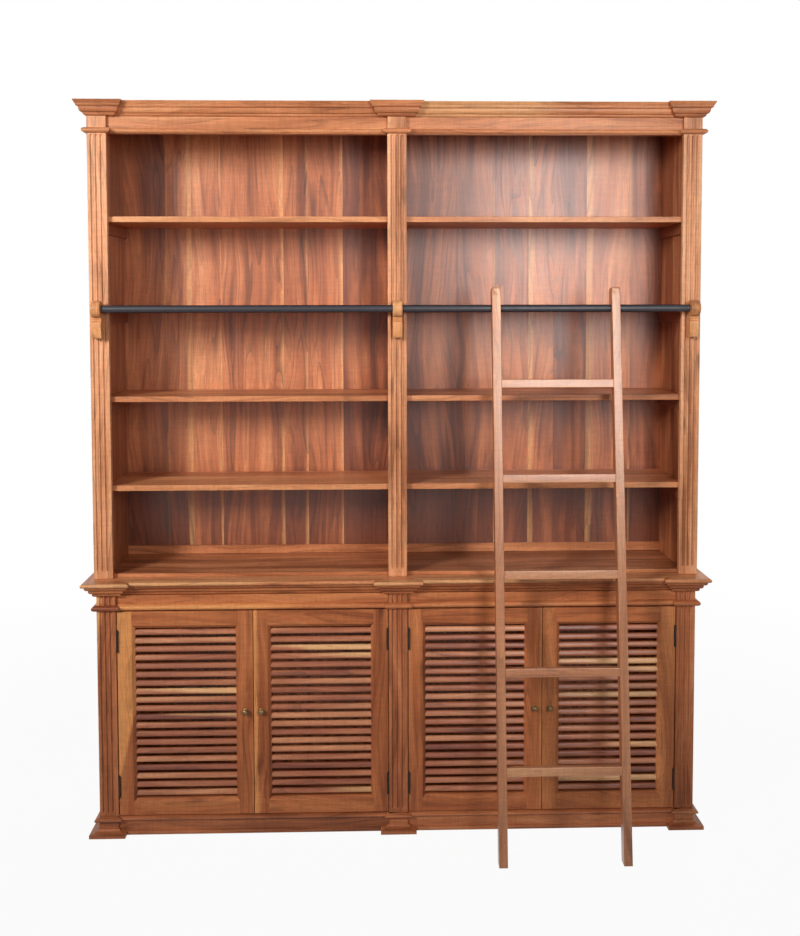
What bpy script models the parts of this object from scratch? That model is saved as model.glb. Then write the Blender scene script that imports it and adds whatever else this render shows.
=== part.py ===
"""Two-part library bookcase with louvred cupboards and a ladder that hooks over a rail.

The front faces -Y, +X is to the right, +Z is up and the floor is at z = 0. The origin is on the
floor in the middle of the plan, halfway between the wall behind the case and the ladder's feet.
Sizes are in metres.
"""

import math

import bmesh
import bpy
from mathutils import Matrix, Vector

# Clearances
SEAT_GAP = 0.0003             # between pieces that touch
DOOR_GAP = 0.002              # above, below and between the doors
HINGE_CLEARANCE = 0.0008      # between a hinge's leaf and the door's hung edge
FUSE_DEPTH = 0.001            # how far shapes of one piece run into each other
MERGE_DISTANCE = 0.00001      # points this near are one point
CREASE_ANGLE = math.radians(60.0)

# Whole object
OVERALL_HEIGHT = 2.400
OVERALL_DEPTH = 0.616         # from the wall to the front of the ladder's feet

# Upper unit
UPPER_WIDTH = 2.000
UPPER_DEPTH = 0.325           # from the wall to the front of the pilasters
SIDE_THICKNESS = 0.045
PARTITION_THICKNESS = 0.028
TOP_THICKNESS = 0.018
FLOOR_THICKNESS = 0.0117
BACK_THICKNESS = 0.012
BACK_INSET = 0.004            # from the wall to the back panels
BACK_RAIL_HEIGHT = 0.030
BACK_RAIL_THICKNESS = 0.010
SHELF_THICKNESS = 0.0185
SHELF_PITCH = 0.294
SHELF_EDGE_ROUND = 0.002
CLEAT_HEIGHT = 0.037
CLEAT_THICKNESS = 0.016
CLEAT_SETBACK = 0.030
FRIEZE_HEIGHT = 0.055
FRIEZE_THICKNESS = 0.020

# Pilasters and posts
PILASTER_WIDTH = 0.062
PILASTER_BREAK = 0.020        # how far they stand forward of the case
FLUTE_COUNT = 3
FLUTE_PITCH = 0.0158
FLUTE_RADIUS = 0.0052
FLUTE_DEPTH = 0.0042
FLUTE_SIDES = 12
FLUTE_END_ROUND = 0.8         # of the flute's radius
UPPER_FLUTE_STOP = 0.025
BASE_FLUTE_STOP = 0.012
FLUTE_TOP_GAP = 0.003         # flutes end this far under a bead

# Crown moulding, each member with its height and its own projection
CROWN_FILLET_HEIGHT = 0.011
CROWN_FILLET_PROJECTION = 0.003
CROWN_OVOLO_HEIGHT = 0.017
CROWN_OVOLO_PROJECTION = 0.013
CROWN_COVE_HEIGHT = 0.010
CROWN_COVE_PROJECTION = 0.012
CROWN_FASCIA_HEIGHT = 0.009
CROWN_FASCIA_PROJECTION = 0.007
CROWN_BODY = 0.018            # moulding behind the face line of the case
CROWN_EAR = 0.022             # how far a capital runs past its pilaster

# Half-round beads
NECK_BEAD_HEIGHT = 0.018
BASE_BEAD_HEIGHT = 0.020
BASE_BEAD_RISE = 0.001        # bead above the lower edge of the base frieze
BEAD_PROJECTION = 0.014
BEAD_SEGMENTS = 6

# Base cupboard
BASE_INSET = 0.015            # base sides stand in from the upper sides
BASE_HEIGHT = 0.844           # to the top of the waist slab
BASE_STEP = 0.034             # base posts stand forward of the upper pilasters
BASE_SIDE_THICKNESS = 0.030
BASE_FLOOR_THICKNESS = 0.018
BASE_FRIEZE_HEIGHT = 0.0505
BASE_FRIEZE_THICKNESS = 0.016
SLAB_THICKNESS = 0.013
SLAB_OVERHANG = 0.042
SLAB_ROUND = 0.004
WAIST_EAR = 0.008
WAIST_FILLET_HEIGHT = 0.0105
WAIST_FILLET_PROJECTION = 0.010
WAIST_OVOLO_HEIGHT = 0.0125
WAIST_OVOLO_PROJECTION = 0.011
WAIST_QUIRK = 0.002           # step from the ovolo to the lip
WAIST_LIP_HEIGHT = 0.0125
WAIST_LIP_PROJECTION = 0.010
WAIST_BODY = 0.018

# Plinth
PLINTH_STEP = 0.006           # plinth stands forward of the base posts
PLINTH_BREAK = 0.012
PLINTH_BODY = 0.028
FOOT_HEIGHT = 0.012
FOOT_PROJECTION = 0.028
FOOT_OGEE_HEIGHT = 0.011
FOOT_OGEE_LANDING = 0.004
PLINTH_NECK_HEIGHT = 0.022
PLINTH_BEAD_HEIGHT = 0.014

# Louvred doors
DOOR_THICKNESS = 0.024
DOOR_SETBACK = 0.004          # door faces behind the faces of the posts
DOOR_STILE_WIDTH = 0.057
DOOR_TOP_RAIL_WIDTH = 0.057
DOOR_BOTTOM_RAIL_WIDTH = 0.054
DOOR_CHAMFER = 0.008
SLAT_PITCH = 0.0284
SLAT_WIDTH = 0.025
SLAT_THICKNESS = 0.014
SLAT_TILT = math.radians(36.0)
SLAT_HOUSING = 0.005
SLAT_NOSE_SEGMENTS = 4

# Knobs and hinges
KNOB_DIAMETER = 0.020
KNOB_LENGTH = 0.022
KNOB_ROSE_DIAMETER = 0.016
KNOB_ROSE_THICKNESS = 0.003
KNOB_STEM_DIAMETER = 0.009
KNOB_INSET = 0.025            # from the door's free edge
KNOB_HEIGHT = 0.408
KNOB_STEPS = 14
HINGE_HEIGHT = 0.070
HINGE_RADIUS = 0.0035
HINGE_SIDES = 12
HINGE_TIP = 0.003
HINGE_LEAF_THICKNESS = 0.0014
HINGE_LEAF_DEPTH = 0.018
HINGE_INSET = 0.098           # from the door's ends to the middle of a hinge

# Rail and corbels
RAIL_DIAMETER = 0.0245
RAIL_HEIGHT = 1.7307
RAIL_STANDOFF = 0.034         # from the pilasters to the middle of the rail
RAIL_SIDES = 24
SOCKET_DEPTH = 0.006
SOCKET_GAP = 0.0005           # round the rail, so that it turns in its sockets
SCROLL_RADIUS = 0.0258
SCROLL_WIDTH = 0.032
SCROLL_SIDES = 28
SCROLL_SHOULDER = 0.6         # of the scroll's radius, where it meets the corbel
CORBEL_WIDTH = 0.0295
CORBEL_BAND_HEIGHT = 0.014
CORBEL_BAND_DEPTH = 0.031
CORBEL_BODY_HEIGHT = 0.055
CORBEL_BODY_DEPTH = 0.037
CORBEL_FOOT_DEPTH = 0.029

# Ladder
LADDER_CENTRE = 0.513         # to the right of the middle of the case
LADDER_WIDTH = 0.4165
STILE_WIDTH = 0.0275
STILE_DEPTH = 0.036
STILE_HEAD_HEIGHT = 0.068     # above the middle of the rail
STILE_HEAD_ROUND = 0.016
HOOK_WALL = 0.013             # wood in front of the rail and behind it
HOOK_SLOPE = math.radians(45.0)
HOOK_SEGMENTS = 10
RUNG_HEIGHT = 0.028
RUNG_DEPTH = 0.030
RUNG_ROUND = 0.003
RUNG_HOUSING = 0.008
RUNG_PITCH = 0.304
TOP_RUNG_DROP = 0.246         # from the middle of the rail, along the stiles
LOWEST_RUNG = 0.150           # least height of a rung above the feet

# Lines that the pieces share
wall_y = OVERALL_DEPTH / 2
ladder_foot_y = -OVERALL_DEPTH / 2
back_y = wall_y - BACK_INSET
back_face_y = back_y - BACK_THICKNESS
upper_front_y = wall_y - UPPER_DEPTH
upper_case_y = upper_front_y + PILASTER_BREAK + SEAT_GAP
base_front_y = upper_front_y - BASE_STEP
base_case_y = base_front_y + PILASTER_BREAK + SEAT_GAP
post_back_y = base_case_y + BASE_FRIEZE_THICKNESS
door_front_y = base_front_y + DOOR_SETBACK

upper_half = UPPER_WIDTH / 2
upper_inner_x = upper_half - SIDE_THICKNESS
base_half = upper_half - BASE_INSET
base_inner_x = base_half - BASE_SIDE_THICKNESS
partition_x = PARTITION_THICKNESS / 2

crown_height = CROWN_FILLET_HEIGHT + CROWN_OVOLO_HEIGHT + CROWN_COVE_HEIGHT + CROWN_FASCIA_HEIGHT
crown_bottom_z = OVERALL_HEIGHT - crown_height
upper_top_z = crown_bottom_z - SEAT_GAP
frieze_bottom_z = upper_top_z - FRIEZE_HEIGHT
upper_bottom_z = BASE_HEIGHT + SEAT_GAP
floor_top_z = upper_bottom_z + FLOOR_THICKNESS
shelf_count = int((frieze_bottom_z - floor_top_z) / SHELF_PITCH)

plinth_top_z = FOOT_HEIGHT + FOOT_OGEE_HEIGHT + PLINTH_NECK_HEIGHT + PLINTH_BEAD_HEIGHT
base_bottom_z = plinth_top_z + SEAT_GAP
base_floor_top_z = base_bottom_z + BASE_FLOOR_THICKNESS
slab_bottom_z = BASE_HEIGHT - SLAB_THICKNESS
waist_top_z = slab_bottom_z - SEAT_GAP
waist_height = WAIST_FILLET_HEIGHT + WAIST_OVOLO_HEIGHT + WAIST_LIP_HEIGHT
waist_bottom_z = waist_top_z - waist_height
base_top_z = waist_bottom_z - SEAT_GAP
base_frieze_bottom_z = base_top_z - BASE_FRIEZE_HEIGHT

door_bottom_z = plinth_top_z + DOOR_GAP
door_top_z = base_frieze_bottom_z - DOOR_GAP
hinge_gap = SEAT_GAP + HINGE_LEAF_THICKNESS + HINGE_CLEARANCE
bay_inner_x = PILASTER_WIDTH / 2
bay_outer_x = base_half - PILASTER_WIDTH
door_width = (bay_outer_x - bay_inner_x - DOOR_GAP) / 2 - hinge_gap
hinge_axis_y = door_front_y - HINGE_RADIUS - SEAT_GAP

rail_y = upper_front_y - RAIL_STANDOFF
rail_radius = RAIL_DIAMETER / 2
corbel_x = upper_half - PILASTER_WIDTH / 2

# Colours, roughness and metal of the finishes
WOOD = ((0.44, 0.20, 0.09), 0.42, 0.0)
DARK_WOOD = ((0.27, 0.115, 0.055), 0.45, 0.0)
PALE_WOOD = ((0.58, 0.31, 0.14), 0.42, 0.0)
BLACK_IRON = ((0.03, 0.029, 0.033), 0.5, 1.0)
AGED_BRASS = ((0.25, 0.18, 0.09), 0.4, 1.0)


def clear_scene():
    """Remove what the start-up scene holds."""
    for item in list(bpy.data.objects):
        bpy.data.objects.remove(item, do_unlink=True)


def new_collection(name):
    """Make a collection and link it to the scene."""
    collection = bpy.data.collections.new(name)
    bpy.context.scene.collection.children.link(collection)
    return collection


clear_scene()
parts = new_collection("ladder_bookcase")
cutters = new_collection("cutters")


def finish_material(name, finish):
    """Make a Principled material from a colour, a roughness and a metal value."""
    colour, roughness, metallic = finish
    material = bpy.data.materials.new(name)
    material.use_nodes = True
    shader = material.node_tree.nodes["Principled BSDF"]
    shader.inputs["Base Color"].default_value = (*colour, 1.0)
    shader.inputs["Roughness"].default_value = roughness
    shader.inputs["Metallic"].default_value = metallic
    return material


def place(name, mesh, finish):
    """Make a part from a mesh, with its own material."""
    item = bpy.data.objects.new(name, mesh)
    item.data.materials.append(finish_material(name, finish))
    parts.objects.link(item)
    return item


def helper(name, mesh):
    """Make a hidden shape that cuts a part or is joined to it."""
    item = bpy.data.objects.new(name, mesh)
    item.hide_render = True
    item.display_type = "WIRE"
    cutters.objects.link(item)
    return item


def to_mesh(name, shape):
    """Turn a bmesh into a mesh with its faces pointing out."""
    bmesh.ops.recalc_face_normals(shape, faces=shape.faces)
    mesh = bpy.data.meshes.new(name)
    shape.to_mesh(mesh)
    shape.free()
    return mesh


def add_box(shape, low, high):
    """Add a box between two corners to a bmesh."""
    size = Vector(high) - Vector(low)
    centre = (Vector(high) + Vector(low)) / 2
    matrix = Matrix.Translation(centre) @ Matrix.Diagonal((*size, 1.0))
    bmesh.ops.create_cube(shape, size=1.0, matrix=matrix)


def box_mesh(name, boxes):
    """Make a mesh of one or more boxes, each given by two corners."""
    shape = bmesh.new()
    for low, high in boxes:
        add_box(shape, low, high)
    return to_mesh(name, shape)


def add_box_part(name, low, high, finish, edge_round=0.0):
    """Make a board, with its edges rounded where a radius is given."""
    item = place(name, box_mesh(name, [(low, high)]), finish)
    if edge_round > 0.0:
        bevel = item.modifiers.new("rounded_edges", "BEVEL")
        bevel.width = edge_round
        bevel.segments = 2
    return item


def combine(item, other, operation):
    """Cut a hidden shape out of a part, or join it to the part."""
    modifier = item.modifiers.new(other.name, "BOOLEAN")
    modifier.operation = operation
    modifier.object = other


def outline_mesh(name, loops, thickness, matrix):
    """Extrude a flat outline, with any holes, to a closed mesh centred on its plane."""
    curve = bpy.data.curves.new(name, "CURVE")
    curve.dimensions = "2D"
    curve.fill_mode = "BOTH"
    curve.extrude = thickness / 2
    for points in loops:
        spline = curve.splines.new("POLY")
        spline.points.add(len(points) - 1)
        for target, point in zip(spline.points, points):
            target.co = (point[0], point[1], 0.0, 1.0)
        spline.use_cyclic_u = True
    item = bpy.data.objects.new(name, curve)
    bpy.context.scene.collection.objects.link(item)
    graph = bpy.context.evaluated_depsgraph_get()
    mesh = bpy.data.meshes.new_from_object(item.evaluated_get(graph))
    bpy.data.objects.remove(item, do_unlink=True)
    bpy.data.curves.remove(curve)
    shape = bmesh.new()
    shape.from_mesh(mesh)
    bpy.data.meshes.remove(mesh)
    bmesh.ops.remove_doubles(shape, verts=shape.verts, dist=MERGE_DISTANCE)
    bmesh.ops.transform(shape, matrix=matrix, verts=shape.verts)
    return to_mesh(name, shape)


def side_view(x):
    """Matrix that stands a (y, z) outline upright at a given x."""
    turn = Matrix(((0, 0, 1), (1, 0, 0), (0, 1, 0))).to_4x4()
    return Matrix.Translation((x, 0.0, 0.0)) @ turn


def plan_view(z):
    """Matrix that lays an (x, y) outline flat at a given height."""
    return Matrix.Translation((0.0, 0.0, z))


def front_view(y):
    """Matrix that stands an (x, z) outline upright, facing the front, at a given y."""
    return Matrix.Translation((0.0, y, 0.0)) @ Matrix.Rotation(math.pi / 2, 4, "X")


def arc(centre, radius, start, end, segments):
    """Points along an arc, both ends included, with angles in radians."""
    points = []
    for step in range(segments + 1):
        angle = start + (end - start) * step / segments
        points.append((centre[0] + radius * math.cos(angle), centre[1] + radius * math.sin(angle)))
    return points


def breakfront(half_width, front, recess, ear):
    """Plan line round a case from the wall, past its three breaks, to the wall again."""
    outer = half_width - PILASTER_WIDTH - ear
    middle = PILASTER_WIDTH / 2 + ear
    right = [(middle, front), (middle, recess), (outer, recess), (outer, front)]
    right += [(half_width, front), (half_width, wall_y)]
    left = [(-x, y) for x, y in reversed(right)]
    return left + right


def offset_directions(path):
    """For each point of an open plan line, the mitred step to a line one unit outside it."""
    normals = []
    for (x0, y0), (x1, y1) in zip(path, path[1:]):
        length = math.hypot(x1 - x0, y1 - y0)
        normals.append(Vector(((y1 - y0) / length, (x0 - x1) / length)))
    steps = [normals[0]]
    for before, after in zip(normals, normals[1:]):
        steps.append((before + after) / (1.0 + before.dot(after)))
    steps.append(normals[-1])
    return steps


def sweep_mesh(name, path, profile):
    """Run an (offset, z) moulding profile along a plan line with mitred corners."""
    shape = bmesh.new()
    rings = []
    for (x, y), step in zip(path, offset_directions(path)):
        ring = [shape.verts.new((x + step.x * offset, y + step.y * offset, z)) for offset, z in profile]
        rings.append(ring)
    count = len(profile)
    for ring, following in zip(rings, rings[1:]):
        for index in range(count):
            after = (index + 1) % count
            shape.faces.new((ring[index], ring[after], following[after], following[index]))
    shape.faces.new(rings[0])
    shape.faces.new(rings[-1])
    return to_mesh(name, shape)


def bead_profile(bottom, height):
    """Half-round bead lying on the face of the case."""
    points = []
    for offset, z in arc((0.0, 0.0), 1.0, -math.pi / 2, math.pi / 2, BEAD_SEGMENTS):
        points.append((SEAT_GAP + offset * BEAD_PROJECTION, bottom + height * (1.0 + z) / 2))
    return points


def quarter(start, end, bulge_first, segments=4):
    """Quarter ellipse between two (offset, z) points, leaving the first one level or upright."""
    points = []
    for step in range(1, segments + 1):
        angle = math.pi / 2 * step / segments
        level, rise = (math.sin(angle), 1.0 - math.cos(angle))
        if not bulge_first:
            level, rise = rise, level
        points.append((start[0] + (end[0] - start[0]) * level, start[1] + (end[1] - start[1]) * rise))
    return points


def crown_profile():
    """Fillet, ovolo, cove and fascia, from the bottom up, closed along the back."""
    z = crown_bottom_z
    offset = CROWN_FILLET_PROJECTION
    points = [(-CROWN_BODY, z), (offset, z)]
    z += CROWN_FILLET_HEIGHT
    points.append((offset, z))
    top = (offset + CROWN_OVOLO_PROJECTION, z + CROWN_OVOLO_HEIGHT)
    points += quarter((offset, z), top, True)
    offset, z = top
    points += quarter((offset, z), (offset + CROWN_COVE_PROJECTION, z + CROWN_COVE_HEIGHT), False)
    offset += CROWN_COVE_PROJECTION
    z += CROWN_COVE_HEIGHT
    offset += CROWN_FASCIA_PROJECTION
    points += [(offset, z), (offset, OVERALL_HEIGHT), (-CROWN_BODY, OVERALL_HEIGHT)]
    return points


def waist_profile():
    """Fillet, ovolo and rounded lip under the waist slab, from the bottom up."""
    z = waist_bottom_z
    offset = WAIST_FILLET_PROJECTION
    points = [(-WAIST_BODY, z), (offset, z), (offset, z + WAIST_FILLET_HEIGHT)]
    z += WAIST_FILLET_HEIGHT
    points += quarter((offset, z), (offset + WAIST_OVOLO_PROJECTION, z + WAIST_OVOLO_HEIGHT), True)
    offset += WAIST_OVOLO_PROJECTION + WAIST_QUIRK
    z += WAIST_OVOLO_HEIGHT
    points.append((offset, z))
    points += quarter((offset, z), (offset + WAIST_LIP_PROJECTION, waist_top_z), True)
    points.append((-WAIST_BODY, waist_top_z))
    return points


def plinth_profile():
    """Spreading foot, neck and bead of the plinth."""
    z = FOOT_HEIGHT
    points = [(-PLINTH_BODY, 0.0), (FOOT_PROJECTION, 0.0), (FOOT_PROJECTION, z)]
    points += quarter((FOOT_PROJECTION, z), (FOOT_OGEE_LANDING, z + FOOT_OGEE_HEIGHT), True)
    z += FOOT_OGEE_HEIGHT
    points += [(0.0, z), (0.0, z + PLINTH_NECK_HEIGHT)]
    z += PLINTH_NECK_HEIGHT
    bead = bead_profile(z, PLINTH_BEAD_HEIGHT)
    points += [(offset - SEAT_GAP, height) for offset, height in bead[1:]]
    points.append((-PLINTH_BODY, plinth_top_z))
    return points


def fluted_mesh_cutter(name, x, face_y, bottom, top):
    """Three round-ended gouges down the face of a pilaster."""
    shape = bmesh.new()
    length = top - bottom
    centre_y = face_y + FLUTE_DEPTH - FLUTE_RADIUS
    for index in range(FLUTE_COUNT):
        offset = (index - (FLUTE_COUNT - 1) / 2) * FLUTE_PITCH
        matrix = Matrix.Translation((x + offset, centre_y, (bottom + top) / 2))
        made = bmesh.ops.create_cone(
            shape, cap_ends=True, segments=FLUTE_SIDES, radius1=FLUTE_RADIUS,
            radius2=FLUTE_RADIUS, depth=length, matrix=matrix)
        rims = set()
        for vertex in made["verts"]:
            for edge in vertex.link_edges:
                if abs(edge.verts[0].co.z - edge.verts[1].co.z) < length / 2:
                    rims.add(edge)
        bmesh.ops.bevel(
            shape, geom=list(rims), offset=FLUTE_RADIUS * FLUTE_END_ROUND, segments=2, profile=0.5,
            affect="EDGES", material=-1)
    return helper(name, to_mesh(name, shape))


def make_pilaster(name, x, finish):
    """Upper pilaster, fluted from above its foot to the neck bead."""
    low = (x - PILASTER_WIDTH / 2, upper_front_y, upper_bottom_z)
    high = (x + PILASTER_WIDTH / 2, upper_front_y + PILASTER_BREAK, upper_top_z)
    item = add_box_part(name, low, high, finish)
    flutes = fluted_mesh_cutter(
        name + "_flutes", x, upper_front_y, upper_bottom_z + UPPER_FLUTE_STOP,
        frieze_bottom_z - FLUTE_TOP_GAP)
    combine(item, flutes, "DIFFERENCE")


def make_post(name, x, finish):
    """Base post, fluted up to the bead, with its head cut back for the frieze board."""
    head = base_frieze_bottom_z - SEAT_GAP
    bead_bottom = base_frieze_bottom_z + BASE_BEAD_RISE
    profile = [
        (base_front_y, base_bottom_z), (post_back_y, base_bottom_z), (post_back_y, head),
        (base_front_y + PILASTER_BREAK, head), (base_front_y + PILASTER_BREAK, base_top_z),
        (base_front_y, base_top_z)]
    item = place(name, outline_mesh(name, [profile], PILASTER_WIDTH, side_view(x)), finish)
    flutes = fluted_mesh_cutter(
        name + "_flutes", x, base_front_y, base_bottom_z + BASE_FLUTE_STOP, bead_bottom - FLUTE_TOP_GAP)
    combine(item, flutes, "DIFFERENCE")


def shelf_tops():
    """Heights of the shelves' upper faces."""
    return [floor_top_z + SHELF_PITCH * (index + 1) for index in range(shelf_count)]


def cleat_boxes(face_x, direction):
    """Cleats under the shelves on one face of an upright."""
    boxes = []
    for top in shelf_tops():
        high_z = top - SHELF_THICKNESS - SEAT_GAP
        ends = sorted((face_x - direction * FUSE_DEPTH, face_x + direction * CLEAT_THICKNESS))
        low = (ends[0], upper_case_y + CLEAT_SETBACK, high_z - CLEAT_HEIGHT)
        high = (ends[1], back_face_y - SEAT_GAP, high_z)
        boxes.append((low, high))
    return boxes


def make_upper_side(name, side):
    """Upper side panel with its shelf cleats."""
    ends = sorted((side * upper_inner_x, side * upper_half))
    low = (ends[0], upper_case_y, upper_bottom_z)
    high = (ends[1], wall_y, upper_top_z)
    item = add_box_part(name, low, high, WOOD)
    cleats = helper(name + "_cleats", box_mesh(name + "_cleats", cleat_boxes(side * upper_inner_x, -side)))
    combine(item, cleats, "UNION")


def make_upper_partition():
    """Middle partition with cleats on both faces, notched at the top for the frieze board."""
    name = "upper_partition"
    notch_y = upper_case_y + FRIEZE_THICKNESS + SEAT_GAP
    notch_z = frieze_bottom_z - SEAT_GAP
    bottom = floor_top_z + SEAT_GAP
    back = back_face_y - SEAT_GAP
    profile = [
        (upper_case_y, bottom), (back, bottom), (back, upper_top_z), (notch_y, upper_top_z),
        (notch_y, notch_z), (upper_case_y, notch_z)]
    item = place(name, outline_mesh(name, [profile], PARTITION_THICKNESS, side_view(0.0)), WOOD)
    boxes = cleat_boxes(partition_x, 1) + cleat_boxes(-partition_x, -1)
    combine(item, helper(name + "_cleats", box_mesh(name + "_cleats", boxes)), "UNION")


def make_upper_back():
    """Back panel of both bays, with the low rail along its foot."""
    name = "upper_back"
    bottom = floor_top_z + SEAT_GAP
    end = upper_inner_x - SEAT_GAP
    item = add_box_part(name, (-end, back_face_y, bottom), (end, back_y, upper_top_z), DARK_WOOD)
    rail_front = back_face_y - BACK_RAIL_THICKNESS
    inner = partition_x + SEAT_GAP
    top = bottom + BACK_RAIL_HEIGHT
    boxes = []
    for x0, x1 in ((-end, -inner), (inner, end)):
        boxes.append(((x0, rail_front, bottom), (x1, back_face_y + FUSE_DEPTH, top)))
    combine(item, helper("upper_back_rails", box_mesh("upper_back_rails", boxes)), "UNION")


def make_shelves():
    """Shelves of both bays, from the lowest up."""
    for bay, side in (("left", -1), ("right", 1)):
        ends = sorted((side * (partition_x + SEAT_GAP), side * (upper_inner_x - SEAT_GAP)))
        for index, top in enumerate(shelf_tops()):
            low = (ends[0], upper_case_y, top - SHELF_THICKNESS)
            high = (ends[1], back_face_y - SEAT_GAP, top)
            add_box_part(f"shelf_{bay}_{index + 1}", low, high, WOOD, SHELF_EDGE_ROUND)


def make_upper_case():
    """Boards, frieze and mouldings of the upper unit."""
    end = upper_inner_x - SEAT_GAP
    make_upper_side("upper_side_left", -1)
    make_upper_side("upper_side_right", 1)
    make_upper_partition()
    make_upper_back()
    add_box_part("upper_floor", (-end, upper_case_y, upper_bottom_z), (end, back_y, floor_top_z), WOOD)
    frieze_back = upper_case_y + FRIEZE_THICKNESS
    add_box_part(
        "upper_frieze", (-end, upper_case_y, frieze_bottom_z), (end, frieze_back, upper_top_z), WOOD)
    for name, x in (("pilaster_left", -corbel_x), ("pilaster_middle", 0.0), ("pilaster_right", corbel_x)):
        make_pilaster(name, x, PALE_WOOD)
    face = breakfront(upper_half, upper_front_y, upper_case_y, 0.0)
    bead = bead_profile(frieze_bottom_z, NECK_BEAD_HEIGHT)
    place("neck_bead", sweep_mesh("neck_bead", face, bead), WOOD)


def make_cornice():
    """Crown moulding fixed round the top board."""
    name = "cornice"
    line = breakfront(upper_half, upper_front_y, upper_case_y, CROWN_EAR)
    item = place(name, sweep_mesh(name, line, crown_profile()), WOOD)
    end = upper_half - CROWN_BODY + FUSE_DEPTH
    front = upper_case_y + CROWN_BODY - FUSE_DEPTH
    low = (-end, front, crown_bottom_z)
    high = (end, wall_y, crown_bottom_z + TOP_THICKNESS)
    combine(item, helper("top_board", box_mesh("top_board", [(low, high)])), "UNION")


def make_waist():
    """Waist moulding, and the slab that closes the cupboard."""
    line = breakfront(base_half, base_front_y, base_case_y, WAIST_EAR)
    place("waist_moulding", sweep_mesh("waist_moulding", line, waist_profile()), WOOD)
    edge = []
    for (x, y), step in zip(line, offset_directions(line)):
        edge.append((x + step.x * SLAB_OVERHANG, y + step.y * SLAB_OVERHANG))
    middle_z = BASE_HEIGHT - SLAB_THICKNESS / 2
    mesh = outline_mesh("waist_slab", [edge], SLAB_THICKNESS, plan_view(middle_z))
    shape = bmesh.new()
    shape.from_mesh(mesh)
    bpy.data.meshes.remove(mesh)
    rims = []
    for edge_line in shape.edges:
        first, second = (vertex.co for vertex in edge_line.verts)
        level = abs(first.z - second.z) < SLAB_THICKNESS / 2
        at_wall = min(first.y, second.y) > wall_y - SLAB_ROUND
        if level and not at_wall and edge_line.calc_face_angle() > CREASE_ANGLE:
            rims.append(edge_line)
    bmesh.ops.bevel(
        shape, geom=rims, offset=SLAB_ROUND, segments=3, profile=0.5, affect="EDGES", material=-1)
    place("waist_slab", to_mesh("waist_slab", shape), WOOD)


def make_base_case():
    """Boards, posts, frieze, bead and plinth of the cupboard."""
    for name, side in (("base_side_left", -1), ("base_side_right", 1)):
        ends = sorted((side * base_inner_x, side * base_half))
        low = (ends[0], post_back_y + SEAT_GAP, base_bottom_z)
        add_box_part(name, low, (ends[1], wall_y, base_top_z), WOOD)
    end = base_inner_x - SEAT_GAP
    inner_front = post_back_y + SEAT_GAP
    add_box_part("base_floor", (-end, inner_front, base_bottom_z), (end, back_y, base_floor_top_z), DARK_WOOD)
    low = (-end, back_face_y, base_floor_top_z + SEAT_GAP)
    add_box_part("base_back", low, (end, back_y, slab_bottom_z - SEAT_GAP), DARK_WOOD)
    low = (-end, base_case_y, base_frieze_bottom_z)
    add_box_part("base_frieze", low, (end, post_back_y, base_top_z), WOOD)
    low = (-partition_x, inner_front, base_floor_top_z + SEAT_GAP)
    high = (partition_x, back_face_y - SEAT_GAP, slab_bottom_z - SEAT_GAP)
    add_box_part("base_partition", low, high, DARK_WOOD)
    post_x = base_half - PILASTER_WIDTH / 2
    for name, x in (("post_left", -post_x), ("post_middle", 0.0), ("post_right", post_x)):
        make_post(name, x, DARK_WOOD)
    face = breakfront(base_half, base_front_y, base_case_y, 0.0)
    bead = bead_profile(base_frieze_bottom_z + BASE_BEAD_RISE, BASE_BEAD_HEIGHT)
    place("base_bead", sweep_mesh("base_bead", face, bead), WOOD)
    front = base_front_y - PLINTH_STEP
    line = breakfront(base_half, front, front + PLINTH_BREAK, 0.0)
    place("plinth", sweep_mesh("plinth", line, plinth_profile()), DARK_WOOD)


def slat_profile(z):
    """Side view of one slat: a flat bar with round edges, its front edge lower than its back."""
    flat = SLAT_WIDTH - SLAT_THICKNESS
    radius = SLAT_THICKNESS / 2
    middle_y = door_front_y + DOOR_THICKNESS / 2
    along = Vector((math.cos(SLAT_TILT), math.sin(SLAT_TILT))) * flat / 2
    nose = (middle_y - along.x, z - along.y)
    tail = (middle_y + along.x, z + along.y)
    right_angle = math.pi / 2
    points = arc(nose, radius, SLAT_TILT + right_angle, SLAT_TILT + 3 * right_angle, SLAT_NOSE_SEGMENTS)
    points += arc(tail, radius, SLAT_TILT - right_angle, SLAT_TILT + right_angle, SLAT_NOSE_SEGMENTS)
    return points


def make_slats(name, left, right, bottom, top):
    """All slats of one door, with their ends housed in its stiles."""
    count = int((top - bottom) / SLAT_PITCH)
    first = (bottom + top) / 2 - (count - 1) / 2 * SLAT_PITCH
    length = right - left + 2 * SLAT_HOUSING
    shape = bmesh.new()
    for index in range(count):
        profile = slat_profile(first + index * SLAT_PITCH)
        mesh = outline_mesh(name, [profile], length, side_view((left + right) / 2))
        shape.from_mesh(mesh)
        bpy.data.meshes.remove(mesh)
    return helper(name, to_mesh(name, shape))


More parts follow.
